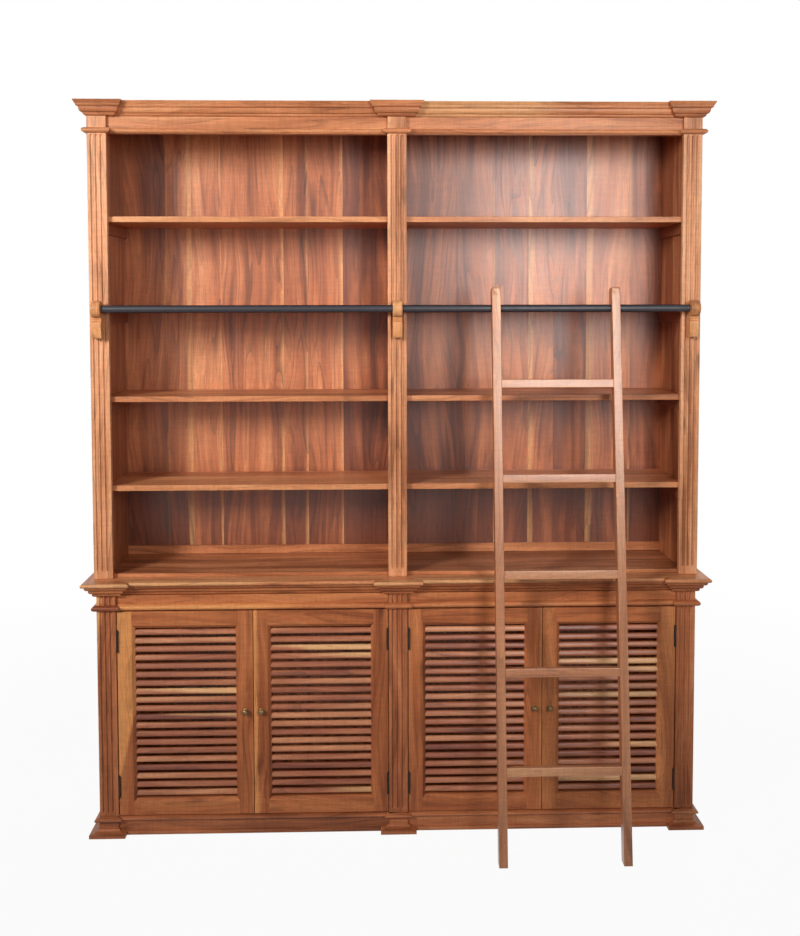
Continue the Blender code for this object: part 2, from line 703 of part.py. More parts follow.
def make_door_leaf(name, left, right):
    """Door frame, chamfered round its opening, with its slats."""
    inner_left = left + DOOR_STILE_WIDTH
    inner_right = right - DOOR_STILE_WIDTH
    inner_bottom = door_bottom_z + DOOR_BOTTOM_RAIL_WIDTH
    inner_top = door_top_z - DOOR_TOP_RAIL_WIDTH
    outer = [(left, door_bottom_z), (right, door_bottom_z), (right, door_top_z), (left, door_top_z)]
    opening = [(inner_left, inner_bottom), (inner_right, inner_bottom)]
    opening += [(inner_right, inner_top), (inner_left, inner_top)]
    middle_y = door_front_y + DOOR_THICKNESS / 2
    mesh = outline_mesh(name, [outer, opening], DOOR_THICKNESS, front_view(middle_y))
    shape = bmesh.new()
    shape.from_mesh(mesh)
    bpy.data.meshes.remove(mesh)
    rims = []
    for edge in shape.edges:
        ends = [vertex.co for vertex in edge.verts]
        at_front = all(end.y < middle_y for end in ends)
        inside = all(left + FUSE_DEPTH < end.x < right - FUSE_DEPTH for end in ends)
        if at_front and inside and edge.calc_face_angle() > CREASE_ANGLE:
            rims.append(edge)
    bmesh.ops.bevel(
        shape, geom=rims, offset=DOOR_CHAMFER, segments=1, profile=0.5, affect="EDGES", material=-1)
    item = place(name, to_mesh(name, shape), DARK_WOOD)
    slats = make_slats(name + "_slats", inner_left, inner_right, inner_bottom, inner_top)
    combine(item, slats, "UNION")
    return item


def turned(name, profile, steps, matrix, finish):
    """Turn an (r, z) profile round z with a Screw, listed top to bottom, then place it."""
    mesh = bpy.data.meshes.new(name)
    edges = [(index, index + 1) for index in range(len(profile) - 1)]
    mesh.from_pydata([(radius, 0.0, z) for radius, z in profile], edges, [])
    item = place(name, mesh, finish)
    item.matrix_world = matrix
    screw = item.modifiers.new("turned", "SCREW")
    screw.steps = steps
    screw.render_steps = steps
    screw.use_merge_vertices = True
    screw.merge_threshold = 0.0001
    screw.use_smooth_shade = True
    return item


def make_knob(name, x):
    """Turned knob with a rose against the door; its axis points to the front."""
    rose = KNOB_ROSE_DIAMETER / 2
    stem = KNOB_STEM_DIAMETER / 2
    radius = KNOB_DIAMETER / 2
    head = min(radius, (KNOB_LENGTH - KNOB_ROSE_THICKNESS) / 2)
    profile = [(0.0, KNOB_LENGTH)]
    for across, along in arc((0.0, 0.0), 1.0, math.pi / 3, -math.pi / 4, 4):
        profile.append((radius * across, KNOB_LENGTH - head * (1.0 - along)))
    profile += [(stem, KNOB_ROSE_THICKNESS + stem / 2), (rose, KNOB_ROSE_THICKNESS), (rose, 0.0), (0.0, 0.0)]
    seat = Matrix.Translation((x, door_front_y - SEAT_GAP, KNOB_HEIGHT))
    return turned(name, profile, KNOB_STEPS, seat @ Matrix.Rotation(math.pi / 2, 4, "X"), AGED_BRASS)


def make_hinge(name, axis_x, post_x, z):
    """Butt hinge: knuckles and pin in front of the door, and the leaf let in on the post."""
    half = HINGE_HEIGHT / 2
    shape = bmesh.new()
    bmesh.ops.create_cone(
        shape, cap_ends=True, segments=HINGE_SIDES, radius1=HINGE_RADIUS, radius2=HINGE_RADIUS,
        depth=HINGE_HEIGHT, matrix=Matrix.Translation((axis_x, hinge_axis_y, z)))
    caps = [face for face in shape.faces if abs(face.normal.z) > 0.9]
    for cap in caps:
        lift = HINGE_TIP if cap.calc_center_median().z > z else -HINGE_TIP
        bmesh.ops.inset_individual(shape, faces=[cap], thickness=HINGE_RADIUS / 2)
        bmesh.ops.translate(shape, verts=cap.verts, vec=(0.0, 0.0, lift))
    item = place(name, to_mesh(name, shape), BLACK_IRON)
    toward_post = 1.0 if post_x > axis_x else -1.0
    ends = sorted((post_x - toward_post * SEAT_GAP, post_x - toward_post * (SEAT_GAP + HINGE_LEAF_THICKNESS)))
    low = (ends[0], hinge_axis_y, z - half)
    high = (ends[1], door_front_y + HINGE_LEAF_DEPTH, z + half)
    combine(item, helper(name + "_leaf", box_mesh(name + "_leaf", [(low, high)])), "UNION")


def carry(item, pivot):
    """Hang a piece on an empty without moving it."""
    item.parent = pivot
    item.matrix_parent_inverse = pivot.matrix_basis.inverted()


def make_pivot(name, matrix):
    """Make an empty on the axis of a joint."""
    pivot = bpy.data.objects.new(name, None)
    pivot.matrix_basis = matrix
    parts.objects.link(pivot)
    return pivot


def make_door(number, side, hung_on_post):
    """One door with its knob and hinges: side is the bay, hung_on_post the post that it is hung on."""
    if hung_on_post == "outer":
        post_x = side * bay_outer_x
        toward_free = -side
    else:
        post_x = side * bay_inner_x
        toward_free = side
    hung_x = post_x + toward_free * hinge_gap
    free_x = hung_x + toward_free * door_width
    axis_x = post_x + toward_free * (HINGE_RADIUS + SEAT_GAP)
    pivot = make_pivot(f"door_{number}_pivot", Matrix.Translation((axis_x, hinge_axis_y, 0.0)))
    leaf = make_door_leaf(f"door_{number}", min(hung_x, free_x), max(hung_x, free_x))
    carry(leaf, pivot)
    carry(make_knob(f"knob_{number}", free_x - toward_free * KNOB_INSET), pivot)
    for place_name, z in (("upper", door_top_z - HINGE_INSET), ("lower", door_bottom_z + HINGE_INSET)):
        make_hinge(f"hinge_{number}_{place_name}", axis_x, post_x, z)


def make_corbel(name, x, rail_sides):
    """Scroll corbel with a socket for the rail on each side that carries it."""
    centre = (rail_y, RAIL_HEIGHT)
    back = upper_front_y - SEAT_GAP
    shoulder = SCROLL_RADIUS * SCROLL_SHOULDER
    band_top = RAIL_HEIGHT - SCROLL_RADIUS
    band_bottom = band_top - CORBEL_BAND_HEIGHT
    foot = band_bottom - CORBEL_BODY_HEIGHT
    body = [
        (back, foot), (back, RAIL_HEIGHT + shoulder), (rail_y, RAIL_HEIGHT),
        (upper_front_y - CORBEL_BAND_DEPTH, RAIL_HEIGHT - shoulder),
        (upper_front_y - CORBEL_BAND_DEPTH, band_bottom), (upper_front_y - CORBEL_BODY_DEPTH, band_bottom),
        (upper_front_y - CORBEL_FOOT_DEPTH, foot)]
    item = place(name, outline_mesh(name, [body], CORBEL_WIDTH, side_view(x)), PALE_WOOD)
    circle = arc(centre, SCROLL_RADIUS, 0.0, 2 * math.pi, SCROLL_SIDES)[:-1]
    scroll = outline_mesh(name + "_scroll", [circle], SCROLL_WIDTH, side_view(x))
    combine(item, helper(name + "_scroll", scroll), "UNION")
    hole = arc(centre, rail_radius + SOCKET_GAP, 0.0, 2 * math.pi, RAIL_SIDES)[:-1]
    for side in rail_sides:
        face_x = x + side * SCROLL_WIDTH / 2
        label = name + ("_socket_right" if side > 0 else "_socket_left")
        socket = outline_mesh(label, [hole], 2 * SOCKET_DEPTH, side_view(face_x))
        combine(item, helper(label, socket), "DIFFERENCE")


def make_rail(name, side):
    """One length of rail, its ends in the corbels' sockets."""
    depth = SOCKET_DEPTH - SOCKET_GAP
    near = SCROLL_WIDTH / 2 - depth
    far = corbel_x - SCROLL_WIDTH / 2 + depth
    pivot = make_pivot(name + "_axis", Matrix.Translation((side * (near + far) / 2, rail_y, RAIL_HEIGHT)))
    circle = arc((rail_y, RAIL_HEIGHT), rail_radius, 0.0, 2 * math.pi, RAIL_SIDES)[:-1]
    mesh = outline_mesh(name, [circle], far - near, side_view(side * (near + far) / 2))
    carry(place(name, mesh, BLACK_IRON), pivot)


def ladder_lean():
    """Angle from the upright at which the ladder's feet reach the front line of the plan."""
    reach = rail_y - ladder_foot_y
    front = rail_radius + SEAT_GAP + HOOK_WALL
    return math.acos(front / math.hypot(reach, RAIL_HEIGHT)) - math.atan2(RAIL_HEIGHT, reach)


def stile_profile(lean):
    """Side view of a stile, y to its back and z along it, with the rail's middle at the origin."""
    grip = rail_radius + SEAT_GAP
    front = -(grip + HOOK_WALL)
    back = front + STILE_DEPTH
    lip = grip + HOOK_WALL
    slope = math.tan(HOOK_SLOPE)
    drop = grip / math.cos(HOOK_SLOPE)
    points = []
    for y in (back, front):
        points.append((y, (y * math.sin(lean) - RAIL_HEIGHT) / math.cos(lean)))
    turn = math.pi / 2
    top = STILE_HEAD_HEIGHT
    front_corner = (front + STILE_HEAD_ROUND / 2, top - STILE_HEAD_ROUND / 2)
    points += arc(front_corner, STILE_HEAD_ROUND / 2, 2 * turn, turn, 3)
    points += arc((lip - STILE_HEAD_ROUND, top - STILE_HEAD_ROUND), STILE_HEAD_ROUND, turn, 0.0, 4)
    points.append((lip, drop - lip * slope))
    mouth = math.pi / 2 - HOOK_SLOPE
    points += arc((0.0, 0.0), grip, mouth, mouth + math.pi, HOOK_SEGMENTS)
    points.append((back, -drop - back * slope))
    return points


def make_ladder():
    """Two hooked stiles and the rungs housed in them, leaning from the rail to the floor."""
    lean = ladder_lean()
    frame = Matrix.Translation((LADDER_CENTRE, rail_y, RAIL_HEIGHT)) @ Matrix.Rotation(-lean, 4, "X")
    pivot = make_pivot("ladder_axis", frame)
    stile_x = (LADDER_WIDTH - STILE_WIDTH) / 2
    front = -(rail_radius + SEAT_GAP + HOOK_WALL)
    rung_y = front + STILE_DEPTH / 2
    span = RAIL_HEIGHT / math.cos(lean) - TOP_RUNG_DROP - LOWEST_RUNG
    rung_heights = [-TOP_RUNG_DROP - RUNG_PITCH * step for step in range(int(span / RUNG_PITCH) + 1)]
    profile = stile_profile(lean)
    for name, side in (("ladder_stile_left", -1), ("ladder_stile_right", 1)):
        stile = place(name, outline_mesh(name, [profile], STILE_WIDTH, side_view(side * stile_x)), PALE_WOOD)
        stile.parent = pivot
        inner = side * (stile_x - STILE_WIDTH / 2)
        boxes = []
        for z in rung_heights:
            ends = sorted((inner - side * FUSE_DEPTH, inner + side * (RUNG_HOUSING + SEAT_GAP)))
            half_depth = RUNG_DEPTH / 2 + SEAT_GAP
            half_height = RUNG_HEIGHT / 2 + SEAT_GAP
            low = (ends[0], rung_y - half_depth, z - half_height)
            boxes.append((low, (ends[1], rung_y + half_depth, z + half_height)))
        mortises = helper(name + "_mortises", box_mesh(name + "_mortises", boxes))
        mortises.parent = pivot
        combine(stile, mortises, "DIFFERENCE")
    reach = stile_x - STILE_WIDTH / 2 + RUNG_HOUSING
    for index, z in enumerate(reversed(rung_heights)):
        low = (-reach, rung_y - RUNG_DEPTH / 2, z - RUNG_HEIGHT / 2)
        high = (reach, rung_y + RUNG_DEPTH / 2, z + RUNG_HEIGHT / 2)
        rung = add_box_part(f"ladder_rung_{index + 1}", low, high, PALE_WOOD, RUNG_ROUND)
        rung.parent = pivot


def main():
    """Build the whole bookcase."""
    make_upper_case()
    make_shelves()
    make_cornice()
    make_base_case()
    make_waist()
    make_door(1, -1, "outer")
    make_door(2, -1, "inner")
    make_door(3, 1, "inner")
    make_door(4, 1, "outer")
    make_corbel("corbel_left", -corbel_x, (1,))
    make_corbel("corbel_middle", 0.0, (-1, 1))
    make_corbel("corbel_right", corbel_x, (-1,))
    make_rail("rail_left", -1)
    make_rail("rail_right", 1)
    make_ladder()


main()
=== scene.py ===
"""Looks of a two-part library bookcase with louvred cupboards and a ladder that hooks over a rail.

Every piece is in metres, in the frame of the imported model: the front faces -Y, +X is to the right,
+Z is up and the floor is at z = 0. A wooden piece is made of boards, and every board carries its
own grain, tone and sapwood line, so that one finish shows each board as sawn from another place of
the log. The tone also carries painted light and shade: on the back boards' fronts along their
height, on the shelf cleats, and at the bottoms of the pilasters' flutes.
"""

import logging
import math
import random
from dataclasses import dataclass, field
from enum import Enum
from functools import partial
from typing import Any, Optional, Sequence

import bmesh
import bpy
from mathutils import Matrix, Vector


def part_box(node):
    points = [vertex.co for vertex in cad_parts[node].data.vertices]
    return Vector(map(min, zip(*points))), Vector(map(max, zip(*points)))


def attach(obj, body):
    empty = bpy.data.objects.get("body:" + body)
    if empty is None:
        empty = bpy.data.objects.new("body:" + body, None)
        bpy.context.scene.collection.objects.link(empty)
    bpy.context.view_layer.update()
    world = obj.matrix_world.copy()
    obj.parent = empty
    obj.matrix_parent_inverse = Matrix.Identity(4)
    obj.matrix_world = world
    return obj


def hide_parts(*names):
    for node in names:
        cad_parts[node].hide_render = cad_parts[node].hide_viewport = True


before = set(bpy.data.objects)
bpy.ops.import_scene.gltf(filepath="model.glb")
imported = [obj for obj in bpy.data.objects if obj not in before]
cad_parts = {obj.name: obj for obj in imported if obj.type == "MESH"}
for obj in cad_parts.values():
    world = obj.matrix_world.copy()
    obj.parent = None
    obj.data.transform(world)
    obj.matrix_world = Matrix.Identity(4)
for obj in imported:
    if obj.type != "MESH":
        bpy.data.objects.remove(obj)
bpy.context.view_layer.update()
LOG = logging.getLogger("bookcase")

Flat = tuple[float, float]
Point = tuple[float, float, float]
Step = tuple[tuple[Flat, ...], Optional[Flat]]
Shape = bmesh.types.BMesh
Tree = bpy.types.NodeTree

MM = 0.001
QUARTER = math.pi / 2
SMOOTH_ANGLE = math.radians(32.0)    # edges sharper than this stay sharp
BEVEL_ANGLE = math.radians(40.0)     # edges of wood sharper than this are eased
RIM_ANGLE = 1.0                      # edges of a round bar sharper than this are its rims
SAME = 1e-6                          # points nearer than this are one
GAP = 0.0003                         # joint between neighbours
LEAST_TONE = 0.001                   # of a finished board, because 0 marks one that is being made
RECESSES = (3, 7)                    # runs of a plan line that lie between its breaks
RAIL_HEIGHT = 1.7307
RAIL_RADIUS = 0.01225
PLACES = ("left", "middle", "right")
WHITE = (1.0, 1.0, 1.0, 1.0)
ADD = {"operation": "ADD"}
MULTIPLY = {"operation": "MULTIPLY"}
MULTIPLY_ADD = {"operation": "MULTIPLY_ADD"}
MAXIMUM = {"operation": "MAXIMUM"}


class Axis(Enum):
    """Direction in which the grain of a board runs."""

    ACROSS = (1.0, 0.0, 0.0)
    DEEP = (0.0, 1.0, 0.0)
    UP = (0.0, 0.0, 1.0)


class Side(Enum):
    """Left or right half of the case, as the sign of its x."""

    LEFT = -1
    RIGHT = 1

    def named(self, stem: str) -> str:
        """Name of this side's solid or piece."""
        return f"{stem}_{self.name.lower()}"


def linear(colour: str) -> tuple[float, float, float, float]:
    """Turn an sRGB hex colour to linear red, green, blue and alpha.

    Args:
        colour: Six hex digits after a hash sign.

    Returns:
        The linear colour with an alpha of one.
    """
    parts = []
    for start in (1, 3, 5):
        value = int(colour[start:start + 2], 16) / 255
        parts.append(value / 12.92 if value <= 0.04045 else ((value + 0.055) / 1.055) ** 2.4)
    return (parts[0], parts[1], parts[2], 1.0)


def add_node(tree: Tree, kind: str, settings: dict[str, Any], inputs: dict[Any, Any]) -> bpy.types.Node:
    """Add a node to a material or world and set it up.

    Args:
        tree: The node tree to add to.
        kind: The node's type name.
        settings: Properties of the node.
        inputs: For each input, by name or number, a value, a socket to link from, or a node, which
            is linked from its first output.

    Returns:
        The new node.
    """
    node = tree.nodes.new(kind)
    for name, value in settings.items():
        setattr(node, name, value)
    for key, value in inputs.items():
        source = value.outputs[0] if isinstance(value, bpy.types.Node) else value
        if isinstance(source, bpy.types.NodeSocket):
            tree.links.new(source, node.inputs[key])
        else:
            node.inputs[key].default_value = source
    return node


def new_tree(name: str) -> tuple[bpy.types.Material, Tree]:
    """Make an empty node material.

    Args:
        name: The material's name.

    Returns:
        The material and its node tree.
    """
    material = bpy.data.materials.new(name)
    material.use_nodes = True
    material.node_tree.nodes.clear()
    return material, material.node_tree


@dataclass(frozen=True)
class Finish:
    """Surface of a piece, made at its first use and shared by every piece that has it."""

    name: str

    def material(self) -> bpy.types.Material:
        """Find the finish's material, or make it if no piece has it yet.

        Returns:
            The one material of this finish.
        """
        made = bpy.data.materials.get(self.name)
        if made is None:
            made, tree = new_tree(self.name)
            self.fill(tree)
        return made

    def fill(self, tree: Tree) -> None:
        """Add the nodes of this kind of finish to an empty tree."""
        raise NotImplementedError


@dataclass(frozen=True)
class Teak(Finish):
    """Plantation teak, planed and sealed with a clear satin lacquer.

    The eye sees straight fibres, slow wavy bands of lighter and darker wood, thin dark lines where
    the growth rings run out through the face, short dark pores, paler sapwood along the edge of
    some boards, and a soft sheen over all of it.
    """

    dark: str
    middle: str
    light: str
    sapwood: str
    band_mm: float = 30.0         # bands of lighter and darker wood on the face of a board
    ring_mm: float = 55.0         # waves of the growth rings, of which each gives several lines
    fibre_mm: float = 3.2         # streaks, coarser than real fibres so that they show in the render
    pore_mm: float = 1.8          # pores, drawn coarser for the same reason
    ring_depth: float = 0.40      # how much a ring line darkens the wood
    knot_depth: float = 0.0       # how much a small knot darkens the wood
    sap_share: float = 0.5        # how much of the sapwood's colour shows
    roughness: float = 0.38
    specular: float = 0.25
    lacquer: float = 0.0

    def fill(self, tree: Tree) -> None:
        """Add the nodes, which read each board's own grain, tone and sapwood line.

        Args:
            tree: The material's empty node tree.
        """
        add = partial(add_node, tree)
        grain = add("ShaderNodeAttribute", {"attribute_name": "grain"}, {}).outputs["Vector"]
        tone = add("ShaderNodeAttribute", {"attribute_name": "tone"}, {}).outputs["Fac"]
        sap = add("ShaderNodeAttribute", {"attribute_name": "sap"}, {}).outputs["Fac"]
        slow = add("ShaderNodeVectorMath", MULTIPLY, {0: grain, 1: (1.7, 5.0, 5.0)})
        sway = add("ShaderNodeTexNoise", {}, {"Vector": slow, "Scale": 1.0, "Detail": 1.0})
        swayed = add("ShaderNodeVectorMath", MULTIPLY_ADD,
                     {0: sway.outputs["Color"], 1: (0.0, 0.11, 0.11), 2: grain})

        # A noise's name, what it follows, its cycles per metre along and across the grain, its detail.
        patterns = (("blotch", grain, 1.5, 9.0, 2.0),
                    ("bands", swayed, 0.9, 1.0 / (self.band_mm * MM), 3.0),
                    ("waves", swayed, 1.0, 1.0 / (self.ring_mm * MM), 1.0),
                    ("fibre", swayed, 7.0, 1.0 / (self.fibre_mm * MM), 3.0),
                    ("pore", grain, 30.0, 1.0 / (self.pore_mm * MM), 1.0),
                    ("ripple", grain, 130.0, 16.0, 2.0))
        noise: dict[str, bpy.types.Node] = {}
        for name, source, along, across, detail in patterns:
            place = add("ShaderNodeVectorMath", MULTIPLY, {0: source, 1: (along, across, across)})
            noise[name] = add("ShaderNodeTexNoise", {},
                              {"Vector": place, "Scale": 1.0, "Detail": detail})

        clouds = add("ShaderNodeMath", MULTIPLY, {0: noise["blotch"], 1: 0.8})
        figure = add("ShaderNodeMath", MULTIPLY_ADD, {0: noise["bands"], 1: 1.0, 2: clouds})
        level = add("ShaderNodeMath", MULTIPLY_ADD, {0: tone, 1: 0.9, 2: -0.85})
        figure = add("ShaderNodeMath", ADD, {0: figure, 1: level})
        wood = add("ShaderNodeValToRGB", {}, {"Fac": figure})
        ramp = wood.color_ramp.elements
        ramp[0].position = 0.20
        ramp[0].color = linear(self.dark)
        ramp[1].position = 0.86
        ramp[1].color = linear(self.light)
        ramp.new(0.5).color = linear(self.middle)

        sap_edge = add("ShaderNodeMath", ADD, {0: sap, 1: -0.015})
        sap_edge = add("ShaderNodeMath", MULTIPLY_ADD, {0: noise["bands"], 1: 0.030, 2: sap_edge})
        sap_part = add("ShaderNodeMapRange", {},
                       {"Value": sap_edge, "From Min": -0.004, "From Max": 0.005,
                        "To Min": 0.0, "To Max": self.sap_share})
        sapped = add("ShaderNodeMix", {"data_type": "RGBA"},
                     {0: sap_part, 6: wood, 7: linear(self.sapwood)})

        turns = add("ShaderNodeMath", MULTIPLY, {0: noise["waves"], 1: 7.0})
        turns = add("ShaderNodeMath", {"operation": "FRACT"}, {0: turns})
        line = add("ShaderNodeMapRange", {},
                   {"Value": turns, "From Min": 0.0, "From Max": 0.4, "To Min": 1.0, "To Max": 0.0})
        clear = add("ShaderNodeMapRange", {},
                    {"Value": noise["blotch"], "From Min": 0.40, "From Max": 0.62,
                     "To Min": 0.9, "To Max": 0.25})
        lines = add("ShaderNodeMath", MULTIPLY, {0: line, 1: clear})
        shade = add("ShaderNodeMath", MULTIPLY_ADD,
                    {0: lines, 1: -self.ring_depth, 2: 1.0 + 0.12 * self.ring_depth})

        # What a pattern from one value to another does to the wood's brightness.
        effects = [(noise["fibre"], 0.25, 0.75, 0.80, 1.20), (noise["pore"], 0.28, 0.36, 0.70, 1.03),
                   (noise["ripple"], 0.3, 0.7, 0.93, 1.07)]
        if self.knot_depth > 0.0:
            place = add("ShaderNodeVectorMath", MULTIPLY, {0: swayed, 1: (3.2, 13.0, 13.0)})
            knots = add("ShaderNodeTexVoronoi", {}, {"Vector": place, "Scale": 1.0})
            effects.append((knots, 0.05, 0.15, 1.0 - self.knot_depth, 1.0))
        for source, low, high, start, end in effects:
            effect = add("ShaderNodeMapRange", {},
                         {"Value": source, "From Min": low, "From Max": high,
                          "To Min": start, "To Max": end})
            shade = add("ShaderNodeMath", MULTIPLY, {0: shade, 1: effect})

        colour = add("ShaderNodeVectorMath", {"operation": "SCALE"},
                     {0: sapped.outputs[2], "Scale": shade})
        rough = add("ShaderNodeMapRange", {},
                    {"Value": noise["fibre"], "From Min": 0.2, "From Max": 0.8,
                     "To Min": self.roughness - 0.05, "To Max": self.roughness + 0.05})
        bump = add("ShaderNodeBump", {}, {"Height": shade, "Strength": 0.2, "Distance": 0.0006})
        shader = add("ShaderNodeBsdfPrincipled", {},
                     {"Base Color": colour, "Roughness": rough, "IOR": 1.5,
                      "Specular IOR Level": self.specular, "Coat Weight": self.lacquer,
                      "Coat Roughness": 0.3, "Normal": bump})
        add("ShaderNodeOutputMaterial", {}, {"Surface": shader})


@dataclass(frozen=True)
class Metal(Finish):
    """Metal whose surface is handled, painted or aged: tone and gloss change in soft patches."""

    worn: str
    clean: str
    metallic: float
    rough_low: float
    rough_high: float
    patch_mm: float

    def fill(self, tree: Tree) -> None:
        """Add the nodes, on Object coordinates.

        Args:
            tree: The material's empty node tree.
        """
        add = partial(add_node, tree)
        place = add("ShaderNodeTexCoord", {}, {}).outputs["Object"]
        patches = add("ShaderNodeTexNoise", {},
                      {"Vector": place, "Scale": 1.0 / (self.patch_mm * MM), "Detail": 4.0})
        tint = add("ShaderNodeValToRGB", {}, {"Fac": patches})
        ramp = tint.color_ramp.elements
        ramp[0].position = 0.35
        ramp[0].color = linear(self.worn)
        ramp[1].position = 0.65
        ramp[1].color = linear(self.clean)
        rough = add("ShaderNodeMapRange", {},
                    {"Value": patches, "From Min": 0.3, "From Max": 0.7,
                     "To Min": self.rough_high, "To Max": self.rough_low})
        bump = add("ShaderNodeBump", {}, {"Height": patches, "Strength": 0.08, "Distance": 0.0005})
        shader = add("ShaderNodeBsdfPrincipled", {},
                     {"Base Color": tint, "Roughness": rough, "Metallic": self.metallic,
                      "Normal": bump})
        add("ShaderNodeOutputMaterial", {}, {"Surface": shader})


HONEY_TEAK = Teak("honey_teak_lacquered", "#925432", "#c07a50", "#da9a6a", "#dca771")
PALE_TEAK = Teak("pale_teak_lacquered", "#a0633f", "#d5956a", "#ecb68b", "#e7b886", knot_depth=0.55)
BACK_TEAK = Teak("back_board_teak_lacquered", "#743c24", "#b06841", "#d48e5f", "#dda66c",
                 ring_depth=0.58, roughness=0.36, specular=0.60)
CORBEL_TEAK = Teak("golden_teak_lacquered", "#995c31", "#cc8a58", "#e3a974", "#e8b685",
                   knot_depth=0.4)
BASE_TEAK = Teak("dark_teak_lacquered", "#854b2f", "#b56e47", "#d29165", "#e6aa6c", sap_share=0.75)
DOOR_TEAK = Teak("door_teak_lacquered", "#854427", "#b1673d", "#cd8351", "#e29a5c", sap_share=0.75,
                 ring_depth=0.44, knot_depth=0.45)
SLAT_TEAK = Teak("slat_teak_lacquered", "#7a3d29", "#a66142", "#cc8a61", "#e6b27a", sap_share=0.75,
                 roughness=0.32, specular=0.4)
LADDER_TEAK = Teak("ladder_teak_lacquered", "#9a5f3a", "#b97850", "#cd9368", "#cfa572",
                   roughness=0.34, specular=0.4, lacquer=0.4)
RAIL_BLACK = Metal("satin_black_paint_on_steel", "#1b181e", "#262129", 0.0, 0.36, 0.48, 18.0)
DARK_IRON = Metal("dark_oxidised_iron", "#1c1512", "#33271f", 0.6, 0.42, 0.62, 4.0)
AGED_BRASS = Metal("aged_brass", "#4a3a26", "#8a7250", 1.0, 0.30, 0.5, 3.0)


def place_piece(name: str, shape: Shape, finish: Finish, body: str, node: str) -> None:
    """Turn a bmesh to a piece of the model.

    Args:
        name: The piece's name.
        shape: Its shape, which is freed.
        finish: Its surface.
        body: The moving body that it rides on.
        node: The solid that it stands for.
    """
    bmesh.ops.recalc_face_normals(shape, faces=shape.faces)
    mesh = bpy.data.meshes.new(name)
    shape.to_mesh(mesh)
    shape.free()
    mesh.shade_smooth()
    mesh.set_sharp_from_angle(angle=SMOOTH_ANGLE)
    mesh.materials.append(finish.material())
    item = bpy.data.objects.new(name, mesh)
    bpy.context.scene.collection.objects.link(item)
    flatten = item.modifiers.new("flat_faces", "WEIGHTED_NORMAL")
    flatten.keep_sharp = True
    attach(item, body)
    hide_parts(node)
    LOG.info("%s: %d faces on %s", name, len(mesh.polygons), body)


@dataclass(frozen=True)
class SapLine:
    """Line in a board beyond which its wood is pale sapwood."""

    point: Point
    toward: Point


